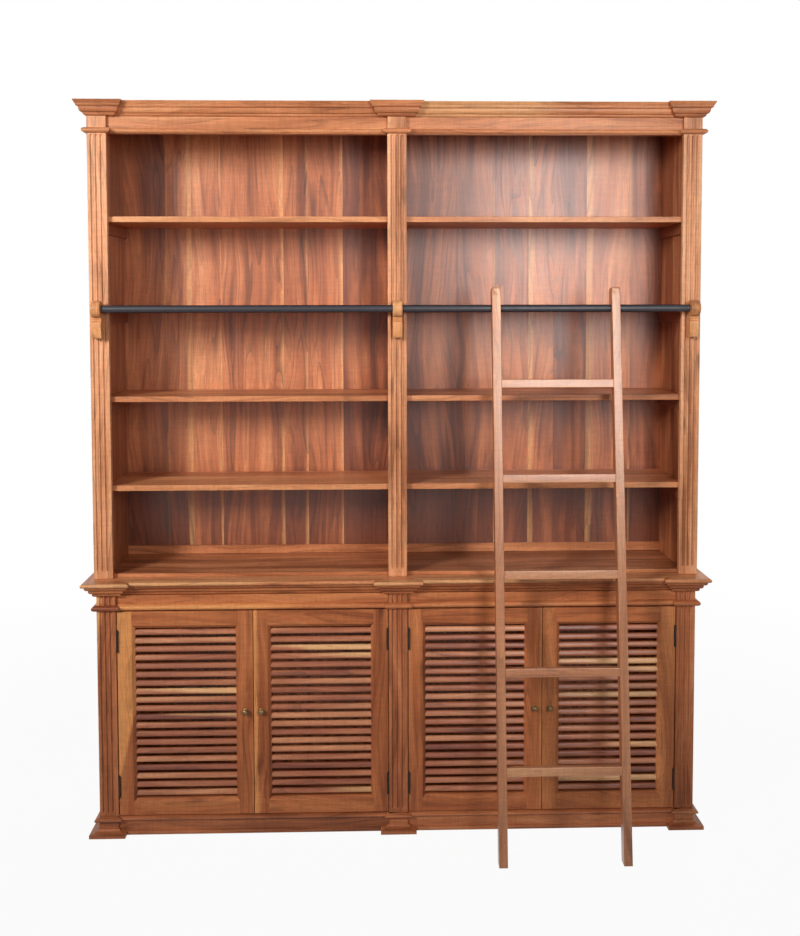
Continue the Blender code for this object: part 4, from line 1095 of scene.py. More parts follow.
@dataclass
class Mouldings:
    """Cornice, beads, waist and plinth, mitred round the breaks of both cases.

    The crown has a foot bead, a large ovolo, a small one and a fascia that leans out. The waist has
    three ovolos that step outward, each over a small quirk.
    """

    pilaster: float = 0.062
    break_depth: float = 0.020
    bead_projection: float = 0.014
    crown_ear: float = 0.022
    crown_body: float = 0.018
    crown_steps: tuple[Step, ...] = (
        (((0.0015, 0.0),), (0.0095, 0.0085)),
        (((0.0110, 0.0092),), (0.0205, 0.0250)),
        (((0.0212, 0.0253), (0.0212, 0.0262), (0.0222, 0.0264)), (0.0285, 0.0345)),
        (((0.0290, 0.0348), (0.0290, 0.0358), (0.0302, 0.0360)), None))
    crown_crest: tuple[Flat, ...] = ((0.0344, 0.0032), (0.0350, 0.0014), (0.0342, 0.0))
    top_board: float = 0.018
    top_seat: float = 0.0005
    top_joints: Flat = (0.12, 0.22)
    waist_ear: float = 0.008
    waist_body: float = 0.018
    waist_steps: tuple[Step, ...] = (
        (((0.0030, 0.0),), (0.0115, 0.0095)),
        (((0.0100, 0.0098), (0.0100, 0.0112), (0.0120, 0.0112)), (0.0215, 0.0220)),
        (((0.0195, 0.0223), (0.0195, 0.0238), (0.0220, 0.0238)), (0.0320, 0.0335)))
    waist_crest: tuple[Flat, ...] = ((0.0320, 0.0),)
    slab_overhang: float = 0.042
    slab_band: float = 0.030
    base_facing: float = 0.010
    plinth_step: float = 0.006
    plinth_break: float = 0.012
    plinth_body: float = 0.041
    foot_spread: float = 0.028
    foot_height: float = 0.012
    foot_ease: float = 0.001
    neck_rise: float = 0.011
    neck_inset: float = 0.004
    plinth_bead: float = 0.014
    lip: tuple[Flat, ...] = ((0.0125, 0.0), (0.0135, 0.0010), (0.0135, 0.0070))
    lip_end: Flat = (0.0075, 0.0120)
    board_foot: Flat = (0.0055, 0.0124)
    board_head: Flat = (0.0050, 0.0005)
    board_bead: float = 0.0135
    board_projection: float = 0.0160

    def build(self) -> None:
        """Make the mouldings from the cornice down."""
        self.build_cornice()
        self.build_bead("neck_bead", self.line("pilaster_right", 0.0), HONEY_TEAK, "upper_wood",
                        tone=0.55, spread=0.08)
        self.build_waist()
        recessed = self.line("post_right", 0.0)
        recessed.recess -= self.base_facing
        self.build_bead("base_bead", recessed, DOOR_TEAK, "waist_wood", tone=0.5, spread=0.1,
                        pale=(3,))
        self.build_plinth()

    def line(self, shaft: str, ear: float) -> PlanLine:
        """Plan line of the upper or the base case.

        Args:
            shaft: The right pilaster or post, which has the case's outer corner.
            ear: How far a break runs past its pilaster.

        Returns:
            The line round that case.
        """
        low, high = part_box(shaft)
        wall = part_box("base_side_right")[1].y
        return PlanLine(high.x, low.y, low.y + self.break_depth + GAP, ear, wall, self.pilaster)

    def build_bead(self, node: str, line: PlanLine, finish: Finish, slot: str, tone: float,
                   spread: float, pale: Sequence[int] = ()) -> None:
        """Make a half-round bead.

        Args:
            node: The solid that it stands for.
            line: The line that it follows.
            finish: Its surface.
            slot: The record's finish that it takes; not used.
            tone: Middle of its tones.
            spread: How far the tone of a run may lie from the middle.
            pale: Numbers of the runs that have sapwood.
        """
        low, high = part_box(node)
        timber = Timber(node + "_moulding", tone, spread)
        profile = half_round(low.z, high.z - low.z, self.bead_projection)
        run_moulding(timber, line, profile, GAP, pale)
        timber.place(finish, slot, node)

    def build_cornice(self) -> None:
        """Make the crown moulding and the top board inside it."""
        low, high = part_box("cornice")
        profile = ovolos(self.crown_body, low.z, high.z, self.crown_steps, self.crown_crest)
        timber = Timber("cornice_moulding", tone=0.37, spread=0.07)
        run_moulding(timber, self.line("pilaster_right", self.crown_ear), profile, pale=(7,))
        timber.place(HONEY_TEAK, "upper_wood", "cornice")
        case_low, case_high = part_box("upper_side_right")
        end = case_high.x - self.crown_body
        front = case_low.y + self.crown_body
        top = Timber("top_board", tone=0.46, spread=0.05)
        top.panel((-end, front, low.z + self.top_seat), (end, high.y, low.z + self.top_board),
                  Axis.ACROSS, self.top_joints, edge=0.0004)
        top.place(HONEY_TEAK, "upper_wood", "cornice")

    def build_waist(self) -> None:
        """Make the moulding under the slab, and the slab inside its rounded edge."""
        low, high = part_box("waist_moulding")
        line = self.line("post_right", self.waist_ear)
        profile = ovolos(self.waist_body, low.z, high.z, self.waist_steps, self.waist_crest)
        timber = Timber("waist_ovolo", tone=0.5, spread=0.08)
        run_moulding(timber, line, profile)
        timber.place(DOOR_TEAK, "waist_wood", "waist_moulding")
        low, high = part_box("waist_slab")
        radius = (high.z - low.z) / 2
        centre = (self.slab_overhang - radius, (low.z + high.z) / 2)
        inner = self.slab_overhang - self.slab_band
        nose = [(inner, low.z), (centre[0], low.z)]
        nose += arc(centre, radius, -QUARTER, QUARTER, segments=10)[1:]
        nose.append((inner, high.z))
        timber = Timber("waist_slab_edge", tone=0.58, spread=0.08)
        run_moulding(timber, line, nose, pale=(1, 3, 5, 7))
        corners = [run.start + (run.normal + run.heading * run.slopes[0]) * inner for run in line.runs()]
        corners.append(Vector((line.half_width + inner, line.wall, 0.0)))
        outline = [Vector((corner.x, corner.y, low.z)) for corner in corners]
        timber.prism(outline, Vector((0.0, 0.0, high.z - low.z)), Axis.ACROSS)
        timber.place(HONEY_TEAK, "waist_wood", "waist_slab")

    def plinth_profile(self, top: float) -> list[Flat]:
        """Profile of the plinth round the posts: spreading foot, neck and bead.

        Args:
            top: Its highest z.

        Returns:
            The (offset, z) points from the bottom up.
        """
        neck = self.foot_height + self.neck_rise
        shoulder = top - self.plinth_bead
        foot = (self.foot_spread, self.foot_height)
        points = [(-self.plinth_body, 0.0), (self.foot_spread - self.foot_ease, 0.0),
                  (self.foot_spread, self.foot_ease), foot]
        points += quarter(foot, (self.neck_inset, neck), True)
        points += [(0.0, neck), (0.0, shoulder)]
        points += half_round(shoulder, top - shoulder, self.bead_projection)[1:]
        points.append((-self.plinth_body, top))
        return points

    def plinth_board(self, top: float) -> list[Flat]:
        """Profile of the plinth between the posts: flat board with a low lip and a bead.

        Args:
            top: Its highest z.

        Returns:
            The (offset, z) points from the bottom up.
        """
        shoulder = top - self.board_bead
        points = [(-self.plinth_body, 0.0), *self.lip]
        points += quarter(points[-1], self.lip_end, False)
        points += [self.board_foot, (self.board_head[0], shoulder - self.board_head[1])]
        points += half_round(shoulder, top - shoulder, self.board_projection)[1:]
        points.append((-self.plinth_body, top))
        return points

    def build_plinth(self) -> None:
        """Make the plinth."""
        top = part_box("plinth")[1].z
        line = self.line("post_right", 0.0)
        line.front -= self.plinth_step
        line.recess = line.front + self.plinth_break
        timber = Timber("plinth_moulding", tone=0.42, spread=0.07)
        run_moulding(timber, line, self.plinth_profile(top), between=self.plinth_board(top))
        timber.place(BASE_TEAK, "base_wood", "plinth")


@dataclass
class BaseCase:
    """Boards of the cupboard behind its doors."""

    facing: float = 0.010
    waist_body: float = 0.018
    head_lap: float = 0.001
    side_joints: Flat = (0.11, 0.21)
    floor_joints: Flat = (0.10, 0.20)
    partition_joints: tuple[float, ...] = (0.14,)
    back_widths: Flat = (0.09, 0.17)
    least_back_board: float = 0.06

    def build(self) -> None:
        """Make the case from its sides to its back."""
        self.build_sides()
        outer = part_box("post_right")[1].x - GAP
        timber = Timber("base_frieze_board", tone=0.52, spread=0.05)
        add_frieze(timber, "base_frieze", (-outer, outer), "post", self.facing)
        timber.place(DOOR_TEAK, "waist_wood", "base_frieze")
        for node, kind, along, joints in (
                ("base_floor", "board", Axis.ACROSS, self.floor_joints),
                ("base_partition", "panel", Axis.UP, self.partition_joints)):
            low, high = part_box(node)
            timber = Timber(f"{node}_{kind}", tone=0.45, spread=0.05)
            timber.panel(low, high, along, [low.y + joint for joint in joints], edge=0.0005)
            timber.place(BASE_TEAK, "base_wood", node)
        self.build_back()

    def build_sides(self) -> None:
        """Make the sides, each with the board that closes it up to the slab."""
        edge = 0.0006
        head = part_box("waist_slab")[0].z - GAP
        for side in Side:
            node = side.named("base_side")
            low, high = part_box(node)
            timber = Timber(node + "_panel", tone=0.42, spread=0.06)
            timber.panel(low, high, Axis.UP, [low.y + joint for joint in self.side_joints], edge)
            outer, inner = (low.x, high.x) if side is Side.LEFT else (high.x, low.x)
            outer -= side.value * (self.waist_body + GAP)
            start, end = sorted((outer, inner))
            timber.board((start, low.y, high.z - self.head_lap), (end, high.y, head), Axis.DEEP, edge)
            timber.place(DOOR_TEAK, "waist_wood", node)

    def build_back(self) -> None:
        """Make the back of upright boards of uneven widths."""
        low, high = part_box("base_back")
        timber = Timber("base_back_boards", tone=0.45, spread=0.08)
        start = low.x
        while start < high.x:
            end = start + timber.draw.uniform(*self.back_widths)
            end = high.x if high.x - end < self.least_back_board else end
            timber.board((start, low.y, low.z), (end, high.y, high.z), Axis.UP, edge=0.0003)
            start = end
        timber.place(BACK_TEAK, "back_boards", "base_back")


@dataclass
class LouvredDoor:
    """Framed door with fixed round-edged slats.

    Attributes:
        number: Its number from the left.
        hung_left: Whether its hinges are on its left.
        frame_tone: Tone of its frame.
        hung_sap: Rise over which the pale wood widens across the hung stile, if it has any.
        free_sap: Width of pale wood along the free stile's outer edge.
    """

    number: int
    hung_left: bool
    frame_tone: float
    hung_sap: float = 0.0
    free_sap: float = 0.0
    sap_start: float = 0.129
    stile: float = 0.057
    top_rail: float = 0.057
    bottom_rail: float = 0.054
    chamfer: float = 0.010
    edge: float = 0.0009
    tuck: float = 0.0002
    slat_pitch: float = 0.0284
    slat_width: float = 0.0190
    slat_thickness: float = 0.0125
    slat_tilt: float = math.radians(70.0)
    slat_sink: float = 0.0038
    housing: float = 0.005
    pale_share: float = 0.14              # of the slats
    pale_start: Flat = (-0.2, 0.9)        # where along a pale slat its sapwood may begin
    pale_slope: Point = (0.05, 0.0, 0.6)

    @property
    def node(self) -> str:
        """Name of its solid and of the body that it rides on."""
        return f"door_{self.number}"

    def stile_sap(self, side: Side, outer: float, foot: float) -> Optional[SapLine]:
        """Find where the sapwood of a stile begins.

        Args:
            side: Side of the door.
            outer: x of the stile's outer edge.
            foot: z of its foot.

        Returns:
            The line, or None if the stile has no sapwood.
        """
        hung = (side is Side.LEFT) == self.hung_left
        if hung and self.hung_sap > 0.0:
            slope = Vector((side.value * self.hung_sap, 0.0, self.stile)).normalized()
            return SapLine((outer, 0.0, foot + self.sap_start), tuple(slope))
        if not hung and self.free_sap > 0.0:
            return SapLine((outer - side.value * self.free_sap, 0.0, 0.0), (side.value, 0.0, 0.0))
        return None

    def build_frame(self) -> None:
        """Make the stiles and rails, chamfered round the opening."""
        low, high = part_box(self.node)
        timber = Timber(self.node + "_frame", self.frame_tone, spread=0.06)
        for side, outer in ((Side.LEFT, low.x), (Side.RIGHT, high.x)):
            inner = outer - side.value * self.stile
            plan = [(outer, low.y), (inner + side.value * self.chamfer, low.y),
                    (inner, low.y + self.chamfer), (inner, high.y), (outer, high.y)]
            outline = [Vector((x, y, low.z)) for x, y in plan]
            timber.prism(outline, Vector((0.0, 0.0, high.z - low.z)), Axis.UP, self.edge,
                         self.stile_sap(side, outer, low.z))
        start = low.x + self.stile - self.chamfer
        length = high.x - low.x - 2 * (self.stile - self.chamfer)
        back = high.y - self.tuck
        for outer, width in ((high.z - self.tuck, -self.top_rail),
                             (low.z + self.tuck, self.bottom_rail)):
            inner = outer + width
            lip = inner - math.copysign(self.chamfer, width)
            section = [(low.y, outer), (low.y, lip), (low.y + self.chamfer, inner), (back, inner),
                       (back, outer)]
            outline = [Vector((start, y, z)) for y, z in section]
            timber.prism(outline, Vector((length, 0.0, 0.0)), Axis.ACROSS, self.edge)
        timber.place(DOOR_TEAK, "door_wood", self.node, self.node)

    def slat_section(self, y: float, z: float) -> list[Flat]:
        """Section of one slat, its front edge lower than its back.

        Args:
            y: y of its middle.
            z: z of its middle.

        Returns:
            The (y, z) points round it.
        """
        radius = self.slat_thickness / 2
        half = (self.slat_width - self.slat_thickness) / 2
        lean = Vector((math.cos(self.slat_tilt), math.sin(self.slat_tilt))) * half
        turn = self.slat_tilt + QUARTER
        nose = arc((y - lean.x, z - lean.y), radius, turn, turn + math.pi, segments=10)
        tail = arc((y + lean.x, z + lean.y), radius, turn - math.pi, turn, segments=10)
        return nose + tail

    def build_slats(self) -> None:
        """Make the slats, each with its own tone, a few of them of sapwood."""
        low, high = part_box(self.node)
        bottom = low.z + self.bottom_rail
        top = high.z - self.top_rail
        count = int((top - bottom) / self.slat_pitch)
        first = (bottom + top) / 2 - (count - 1) / 2 * self.slat_pitch
        start = low.x + self.stile - self.housing
        length = high.x - low.x - 2 * (self.stile - self.housing)
        middle = (low.y + high.y) / 2 + self.slat_sink
        timber = Timber(self.node + "_slats", tone=0.5, spread=0.17)
        for index in range(count):
            z = first + index * self.slat_pitch
            outline = [Vector((start, y, height)) for y, height in self.slat_section(middle, z)]
            pale = timber.draw.random() < self.pale_share
            cut = start + length * timber.draw.uniform(*self.pale_start)
            sap = SapLine((cut, 0.0, z), self.pale_slope) if pale else None
            timber.prism(outline, Vector((length, 0.0, 0.0)), Axis.ACROSS, sap=sap)
        timber.place(SLAT_TEAK, "door_wood", self.node, self.node)


@dataclass
class DoorFittings:
    """Turned knobs and butt hinges of the doors."""

    knob_radius: float = 0.010
    knob_length: float = 0.022
    knob_stem: tuple[Flat, ...] = (
        (0.0, 0.0), (0.0076, 0.0), (0.008, 0.0006), (0.0078, 0.0022), (0.0066, 0.003),
        (0.0050, 0.0036), (0.0043, 0.0052), (0.0044, 0.0078), (0.0056, 0.0100))
    knob_turn: float = math.pi / 3.4      # from the widest part of the head down to the stem
    hinge_radius: float = 0.0035
    hinge_height: float = 0.070
    knuckles: int = 5
    knuckle_gap: float = 0.0002
    knuckle_ease: float = 0.0004
    tip_share: float = 0.62               # radius of a pin's tip in hinge radii
    tip_rise: float = 0.0008
    leaf_depth: float = 0.018
    fixed_leaf: Flat = (0.0007, 0.0014)   # from the post to its middle, and its thickness
    moving_leaf: Flat = (0.0022, 0.0012)

    def build_knob(self, number: int) -> None:
        """Turn a small knob with a rose and a waisted stem.

        Args:
            number: Number of its door.
        """
        node = f"knob_{number}"
        low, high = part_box(node)
        middle = Vector(((low.x + high.x) / 2, high.y, (low.z + high.z) / 2))
        head = arc((0.0, 0.0), 1.0, -self.knob_turn, QUARTER, segments=9)
        rise = (self.knob_length - self.knob_stem[-1][1]) / (1.0 + math.sin(self.knob_turn))
        profile = list(self.knob_stem)
        profile += [(self.knob_radius * out, self.knob_length - rise * (1.0 - up)) for out, up in head]
        shape = bmesh.new()
        points = [middle + Vector((out, -up, 0.0)) for out, up in profile]
        spin_round(shape, points, middle, Axis.DEEP, steps=32)
        place_piece(f"turned_knob_{number}", shape, AGED_BRASS, f"door_{number}", node)

    def build_hinge(self, number: int, place: str, post_right: bool) -> None:
        """Make one butt hinge: its fixed half with the pin, and the half that swings with the door.

        Args:
            number: Number of the door.
            place: Upper or lower.
            post_right: Whether the post is on the right of the hinge.
        """
        node = f"hinge_{number}_{place}"
        low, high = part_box(node)
        away = 1.0 if post_right else -1.0
        post = high.x if post_right else low.x
        middle = Vector((post - away * self.hinge_radius, low.y + self.hinge_radius,
                         (low.z + high.z) / 2))
        bottom = middle.z - self.hinge_height / 2
        pitch = self.hinge_height / self.knuckles
        fixed = bmesh.new()
        moving = bmesh.new()
        for index in range(self.knuckles):
            stand = Matrix.Translation((middle.x, middle.y, bottom + (index + 0.5) * pitch))
            add_bar(moving if index % 2 else fixed, self.hinge_radius, pitch - 2 * self.knuckle_gap,
                    stand, segments=24, ease=self.knuckle_ease)
        for end in (bottom - self.tip_rise, bottom + self.hinge_height + self.tip_rise):
            bmesh.ops.create_uvsphere(fixed, u_segments=16, v_segments=8,
                                      radius=self.hinge_radius * self.tip_share,
                                      matrix=Matrix.Translation((middle.x, middle.y, end)))
        depth = self.hinge_radius + GAP + self.leaf_depth
        for shape, (inset, thickness) in ((fixed, self.fixed_leaf), (moving, self.moving_leaf)):
            centre = Vector((post - away * inset, middle.y + depth / 2, middle.z))
            size = (thickness, depth, self.hinge_height, 1.0)
            bmesh.ops.create_cube(shape, size=1.0,
                                  matrix=Matrix.Translation(centre) @ Matrix.Diagonal(size))
        for half, shape, body in (("post", fixed, "case"), ("door", moving, f"door_{number}")):
            name = f"hinge_{half}_half_{number}_{place}"
            place_piece(name, shape, DARK_IRON, body, node)


@dataclass
class Railing:
    """Round rail in two lengths, and the three scroll corbels that carry it.

    The measures of a corbel's front are taken from the face of its pilaster.
    """

    rail_ease: float = 0.0008
    rail_offset: float = 0.034
    scroll_radius: float = 0.0265
    scroll_width: float = 0.032
    scroll_edge: float = 0.0042
    shoulder_share: float = 0.6
    corbel_width: float = 0.0295
    corbel_edge: float = 0.0008
    band_height: float = 0.014
    band_front: float = 0.031
    ring_radius: float = 0.0028
    ring_rises: Flat = (0.0090, 0.0030)                              # above the band's foot
    quirk: tuple[Flat, ...] = ((0.030, 0.0006), (0.036, 0.0016))     # below it
    belly_start: Flat = (0.037, 0.004)                               # below it
    belly_end: Flat = (0.029, 0.002)                                 # above the corbel's foot
    toe: float = 0.028

    def build(self) -> None:
        """Make both lengths of rail, of which the right one turns, and the corbels."""
        for side, body in ((Side.LEFT, "case"), (Side.RIGHT, "turning_rail")):
            node = side.named("rail")
            low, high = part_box(node)
            stand = Matrix.Translation((low + high) / 2) @ Matrix.Rotation(QUARTER, 4, "Y")
            shape = bmesh.new()
            add_bar(shape, RAIL_RADIUS, high.x - low.x, stand, segments=64, ease=self.rail_ease)
            place_piece(f"round_{node}", shape, RAIL_BLACK, body, node)
        for place in PLACES:
            self.build_corbel(f"corbel_{place}")

    def build_corbel(self, node: str) -> None:
        """Make a corbel: the roll at its head, a narrow band, and the body that tapers to its foot.

        Args:
            node: The solid that it stands for.
        """
        low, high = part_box(node)
        middle = (low.x + high.x) / 2
        back = high.y
        front = back + GAP
        rail = (front - self.rail_offset, RAIL_HEIGHT)
        band = front - self.band_front
        bottom = RAIL_HEIGHT - self.scroll_radius - self.band_height
        shoulder = self.scroll_radius * self.shoulder_share
        body = [(back, low.z), (back, RAIL_HEIGHT + shoulder), rail, (band, RAIL_HEIGHT - shoulder)]
        for rise in self.ring_rises:
            body += arc((band, bottom + rise), self.ring_radius, QUARTER, 3 * QUARTER, segments=6)
        body += [(front - out, bottom - drop) for out, drop in self.quirk]
        body += quarter((front - self.belly_start[0], bottom - self.belly_start[1]),
                        (front - self.belly_end[0], low.z + self.belly_end[1]), False, segments=10)
        body.append((front - self.toe, low.z))
        roll = arc(rail, self.scroll_radius, 0.0, math.tau, segments=48)[:-1]
        timber = Timber(node + "_scroll", tone=0.56, spread=0.04)
        for side_view, width, edge in ((body, self.corbel_width, self.corbel_edge),
                                       (roll, self.scroll_width, self.scroll_edge)):
            outline = [Vector((middle - width / 2, y, z)) for y, z in side_view]
            timber.prism(outline, Vector((width, 0.0, 0.0)), Axis.UP, edge)
        timber.place(CORBEL_TEAK, "corbel_wood", node)


@dataclass
class Ladder:
    """Loose ladder: two stiles with hooks over the rail, and rungs housed in them."""

    foot_y: float = -0.308
    rail_y: float = -0.051
    centre: float = 0.513
    width: float = 0.4165
    stile_width: float = 0.0275
    stile_depth: float = 0.036
    hook_wall: float = 0.013
    hook_slope: float = math.radians(45.0)
    head: float = 0.068
    head_round: float = 0.016
    head_corner: float = 0.005
    edge: float = 0.0018
    rungs: int = 5
    rung_height: float = 0.028
    rung_depth: float = 0.030
    rung_round: float = 0.003
    rung_pitch: float = 0.304
    top_drop: float = 0.246
    housing: float = 0.008

    @property
    def grip(self) -> float:
        """Radius of the hook."""
        return RAIL_RADIUS + GAP

    def lean(self) -> float:
        """Find how far the ladder leans.

        Returns:
            The angle from the upright at which the feet stand on their line.
        """
        reach = self.rail_y - self.foot_y
        front = self.grip + self.hook_wall
        return math.acos(front / math.hypot(reach, RAIL_HEIGHT)) - math.atan2(RAIL_HEIGHT, reach)

    def stile_outline(self) -> list[Flat]:
        """Side view of a stile, with the middle of the rail at the origin and z along the stile.

        Returns:
            The (y, z) points round it.
        """
        lean = self.lean()
        lip = self.grip + self.hook_wall
        back = self.stile_depth - lip
        slope = math.tan(self.hook_slope)
        drop = self.grip / math.cos(self.hook_slope)
        mouth = QUARTER - self.hook_slope
        large = self.head_round
        small = large / 2
        points = [(y, (y * math.sin(lean) - RAIL_HEIGHT) / math.cos(lean)) for y in (back, -lip)]
        points += arc((small - lip, self.head - small), small, math.pi, QUARTER, segments=6)
        points += arc((lip - large, self.head - large), large, QUARTER, 0.0, segments=8)
        points.append((lip, drop - lip * slope))
        points += arc((0.0, 0.0), self.grip, mouth, mouth + math.pi, segments=20)
        points.append((back, -drop - back * slope))
        return points

    def round_head(self, timber: Timber, stand: Matrix) -> None:
        """Round the top corners of a stile as they are seen from the front.

        Args:
            timber: The stile, a plain prism so far.
            stand: From the stile's own axes to the frame.
        """
        local = stand.inverted()
        edges = []
        for edge in timber.shape.edges:
            heights = [(local @ vertex.co).z for vertex in edge.verts]
            level = abs(edge.verts[0].co.x - edge.verts[1].co.x) < MM
            if level and min(heights) > self.head - self.head_round:
                edges.append(edge)
        bmesh.ops.bevel(timber.shape, geom=edges, offset=self.head_corner, segments=4, profile=0.5,
                        affect="EDGES", material=-1)

    def build(self) -> None:
        """Make the stiles and the rungs at the ladder's lean."""
        tilt = Matrix.Rotation(-self.lean(), 4, "X")
        stand = Matrix.Translation((self.centre, self.rail_y, RAIL_HEIGHT)) @ tilt
        middle = (self.width - self.stile_width) / 2
        half = self.stile_width / 2
        for side in Side:
            node = side.named("ladder_stile")
            start = side.value * middle - half
            outline = [stand @ Vector((start, y, z)) for y, z in self.stile_outline()]
            timber = Timber(node + "_rail", tone=0.55, spread=0.04)
            timber.extrude(outline, Vector((self.stile_width, 0.0, 0.0)))
            bmesh.ops.recalc_face_normals(timber.shape, faces=timber.shape.faces)
            self.round_head(timber, stand)
            timber.ease(self.edge)
            timber.mark(tilt @ Vector(Axis.UP.value))
            timber.place(LADDER_TEAK, "ladder_wood", node, "ladder")
        rung_y = self.stile_depth / 2 - self.grip - self.hook_wall
        length = 2 * (middle - half + self.housing)
        size = Matrix.Diagonal((length, self.rung_depth, self.rung_height, 1.0))
        for step in range(self.rungs):
            node = f"ladder_rung_{self.rungs - step}"
            place = Matrix.Translation((0.0, rung_y, -self.top_drop - step * self.rung_pitch))
            timber = Timber(node + "_tread", tone=0.55, spread=0.07)
            bmesh.ops.create_cube(timber.shape, size=1.0, matrix=stand @ place @ size)
            timber.ease(self.rung_round)
            timber.mark(Axis.ACROSS.value)
            timber.place(LADDER_TEAK, "ladder_wood", node, "ladder")


@dataclass(frozen=True)
class SoftBox:
    """Lamp with a soft rectangular face.

    Attributes:
        name: Its name.
        place: Where it stands.
        target: The point that it looks at.
        size: Width and height of its face.
        power: Its power in watts.
        spread: Angle of its light in degrees.
        mirrored: Whether it shows in gloss.
    """

    name: str
    place: Point
    target: Point
    size: Flat
    power: float
    spread: float
    mirrored: bool = True

    def build(self) -> None:
        """Set up the lamp."""
        data = bpy.data.lights.new(self.name, "AREA")
        data.shape = "RECTANGLE"
        data.size = self.size[0]
        data.size_y = self.size[1]
        data.energy = self.power
        data.spread = math.radians(self.spread)
        lamp = bpy.data.objects.new(self.name, data)
        lamp.visible_glossy = self.mirrored
        aim = Vector(self.target) - Vector(self.place)
        turn = aim.to_track_quat("-Z", "Y").to_matrix().to_4x4()
        lamp.matrix_world = Matrix.Translation(self.place) @ turn
        bpy.context.scene.collection.objects.link(lamp)


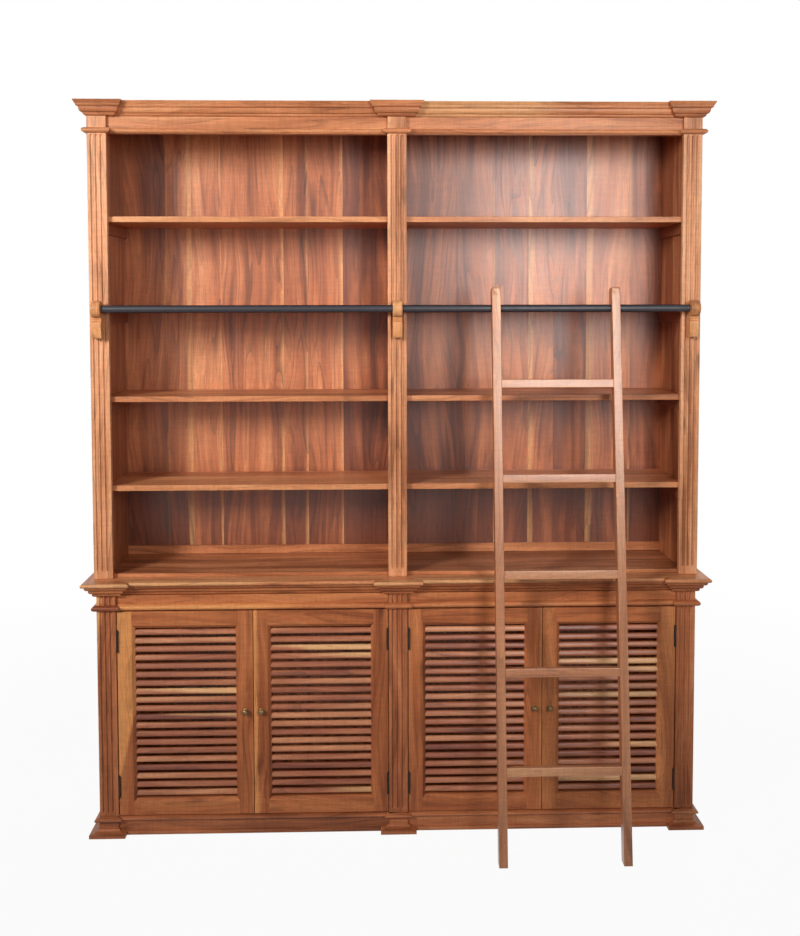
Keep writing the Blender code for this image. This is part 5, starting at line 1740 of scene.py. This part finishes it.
@dataclass
class Studio:
    """Pale floor, soft light from both sides and from behind, and the camera."""

    image_width: float = 800.0
    image_height: float = 936.0
    camera_place: Point = (-0.09082, -3.517, 1.74064)
    yaw: float = 0.02785
    pitch: float = 0.05298
    roll: float = -0.00186
    focal: float = 1068.78                # in pixels of the image
    principal: Flat = (399.446, 362.26)
    sensor: float = 36.0
    world_level: float = 0.12
    floor_half: float = 14.0
    floor_colour: str = "#c0c0be"
    near_white: float = 0.95              # share of white glow over the floor near the case
    white_reach: Flat = (1.4, 4.0)        # distances between which that share grows to one
    lamps: tuple[SoftBox, ...] = (
        SoftBox("left_soft_box", (-3.0, -3.3, 2.9), (-0.6, 0.0, 1.7), (1.0, 1.2), 27.0, 70.0),
        SoftBox("right_soft_box", (1.15, -3.3, 2.35), (0.35, 0.0, 2.2), (0.7, 1.5), 16.0, 80.0),
        SoftBox("back_soft_box", (2.3, 3.4, 2.5), (0.4, 0.3, 1.2), (1.2, 1.2), 20.0, 100.0, False))

    def build(self) -> None:
        """Set up the camera, the light and the floor."""
        self.build_camera()
        self.build_world()
        for lamp in self.lamps:
            lamp.build()
        self.build_floor()
        bpy.context.scene.view_settings.view_transform = "Standard"

    def build_camera(self) -> None:
        """Set up the camera at the photograph's viewing angle."""
        level = math.cos(self.pitch)
        ahead = Vector((math.sin(self.yaw) * level, math.cos(self.yaw) * level, -math.sin(self.pitch)))
        right = Vector((math.cos(self.yaw), -math.sin(self.yaw), 0.0))
        up = right.cross(ahead)
        turned_right = right * math.cos(self.roll) + up * math.sin(self.roll)
        turned_up = up * math.cos(self.roll) - right * math.sin(self.roll)
        data = bpy.data.cameras.new("camera")
        data.sensor_width = self.sensor
        data.lens = self.focal * self.sensor / self.image_height
        data.shift_x = (self.image_width / 2 - self.principal[0]) / self.image_height
        data.shift_y = (self.principal[1] - self.image_height / 2) / self.image_height
        camera = bpy.data.objects.new("camera", data)
        axes = Matrix((turned_right, turned_up, -ahead)).transposed()
        camera.matrix_world = Matrix.Translation(self.camera_place) @ axes.to_4x4()
        bpy.context.scene.collection.objects.link(camera)
        bpy.context.scene.camera = camera

    def seen_white(self, tree: Tree, surface: bpy.types.Node, glow: str, share: Any) -> bpy.types.Node:
        """Mix a white glow over a surface for the eye and for reflections alone.

        Args:
            tree: The node tree.
            surface: The shader that lights the object.
            glow: Type name of the shader that glows.
            share: How much of the glow covers the surface, as a number or a node.

        Returns:
            The mixed shader.
        """
        add = partial(add_node, tree)
        path = add("ShaderNodeLightPath", {}, {}).outputs
        seen = add("ShaderNodeMath", MAXIMUM, {0: path["Is Camera Ray"], 1: path["Is Glossy Ray"]})
        seen = add("ShaderNodeMath", MAXIMUM, {0: seen, 1: path["Is Transmission Ray"]})
        part = add("ShaderNodeMath", MULTIPLY, {0: seen, 1: share})
        white = add(glow, {}, {"Color": WHITE, "Strength": 1.0})
        return add("ShaderNodeMixShader", {}, {0: part, 1: surface, 2: white})

    def build_world(self) -> None:
        """Set up the world, which is white to the eye and lights the case only a little."""
        world = bpy.data.worlds.new("studio")
        bpy.context.scene.world = world
        world.use_nodes = True
        tree = world.node_tree
        tree.nodes.clear()
        fill = add_node(tree, "ShaderNodeBackground", {}, {"Color": WHITE, "Strength": self.world_level})
        surface = self.seen_white(tree, fill, "ShaderNodeBackground", 1.0)
        add_node(tree, "ShaderNodeOutputWorld", {}, {"Surface": surface})

    def build_floor(self) -> None:
        """Lay the floor, which is white to the eye and keeps a soft shadow."""
        shape = bmesh.new()
        bmesh.ops.create_grid(shape, x_segments=2, y_segments=2, size=self.floor_half)
        mesh = bpy.data.meshes.new("floor")
        shape.to_mesh(mesh)
        shape.free()
        material, tree = new_tree("matt_white_floor")
        add = partial(add_node, tree)
        paint = add("ShaderNodeBsdfDiffuse", {}, {"Color": linear(self.floor_colour)})
        place = add("ShaderNodeTexCoord", {}, {}).outputs["Object"]
        reach = add("ShaderNodeVectorMath", {"operation": "LENGTH"}, {0: place}).outputs["Value"]
        share = add("ShaderNodeMapRange", {"interpolation_type": "SMOOTHSTEP"},
                    {"Value": reach, "From Min": self.white_reach[0], "From Max": self.white_reach[1],
                     "To Min": self.near_white, "To Max": 1.0})
        surface = self.seen_white(tree, paint, "ShaderNodeEmission", share)
        add("ShaderNodeOutputMaterial", {}, {"Surface": surface})
        mesh.materials.append(material)
        floor = bpy.data.objects.new("floor", mesh)
        bpy.context.scene.collection.objects.link(floor)


def main() -> None:
    """Build the bookcase sub-assembly by sub-assembly, then the studio round it."""
    logging.basicConfig(level=logging.INFO, format="%(message)s")
    UpperUnit().build()
    Mouldings().build()
    Shafts().build()
    BaseCase().build()
    doors = (LouvredDoor(1, hung_left=True, frame_tone=0.48, hung_sap=0.203),
             LouvredDoor(2, hung_left=False, frame_tone=0.48, free_sap=0.013),
             LouvredDoor(3, hung_left=True, frame_tone=0.45, free_sap=0.006),
             LouvredDoor(4, hung_left=False, frame_tone=0.62))
    fittings = DoorFittings()
    for door in doors:
        door.build_frame()
        door.build_slats()
        fittings.build_knob(door.number)
        for place in ("upper", "lower"):
            fittings.build_hinge(door.number, place, not door.hung_left)
    Railing().build()
    Ladder().build()
    Studio().build()


if __name__ == "__main__":
    main()
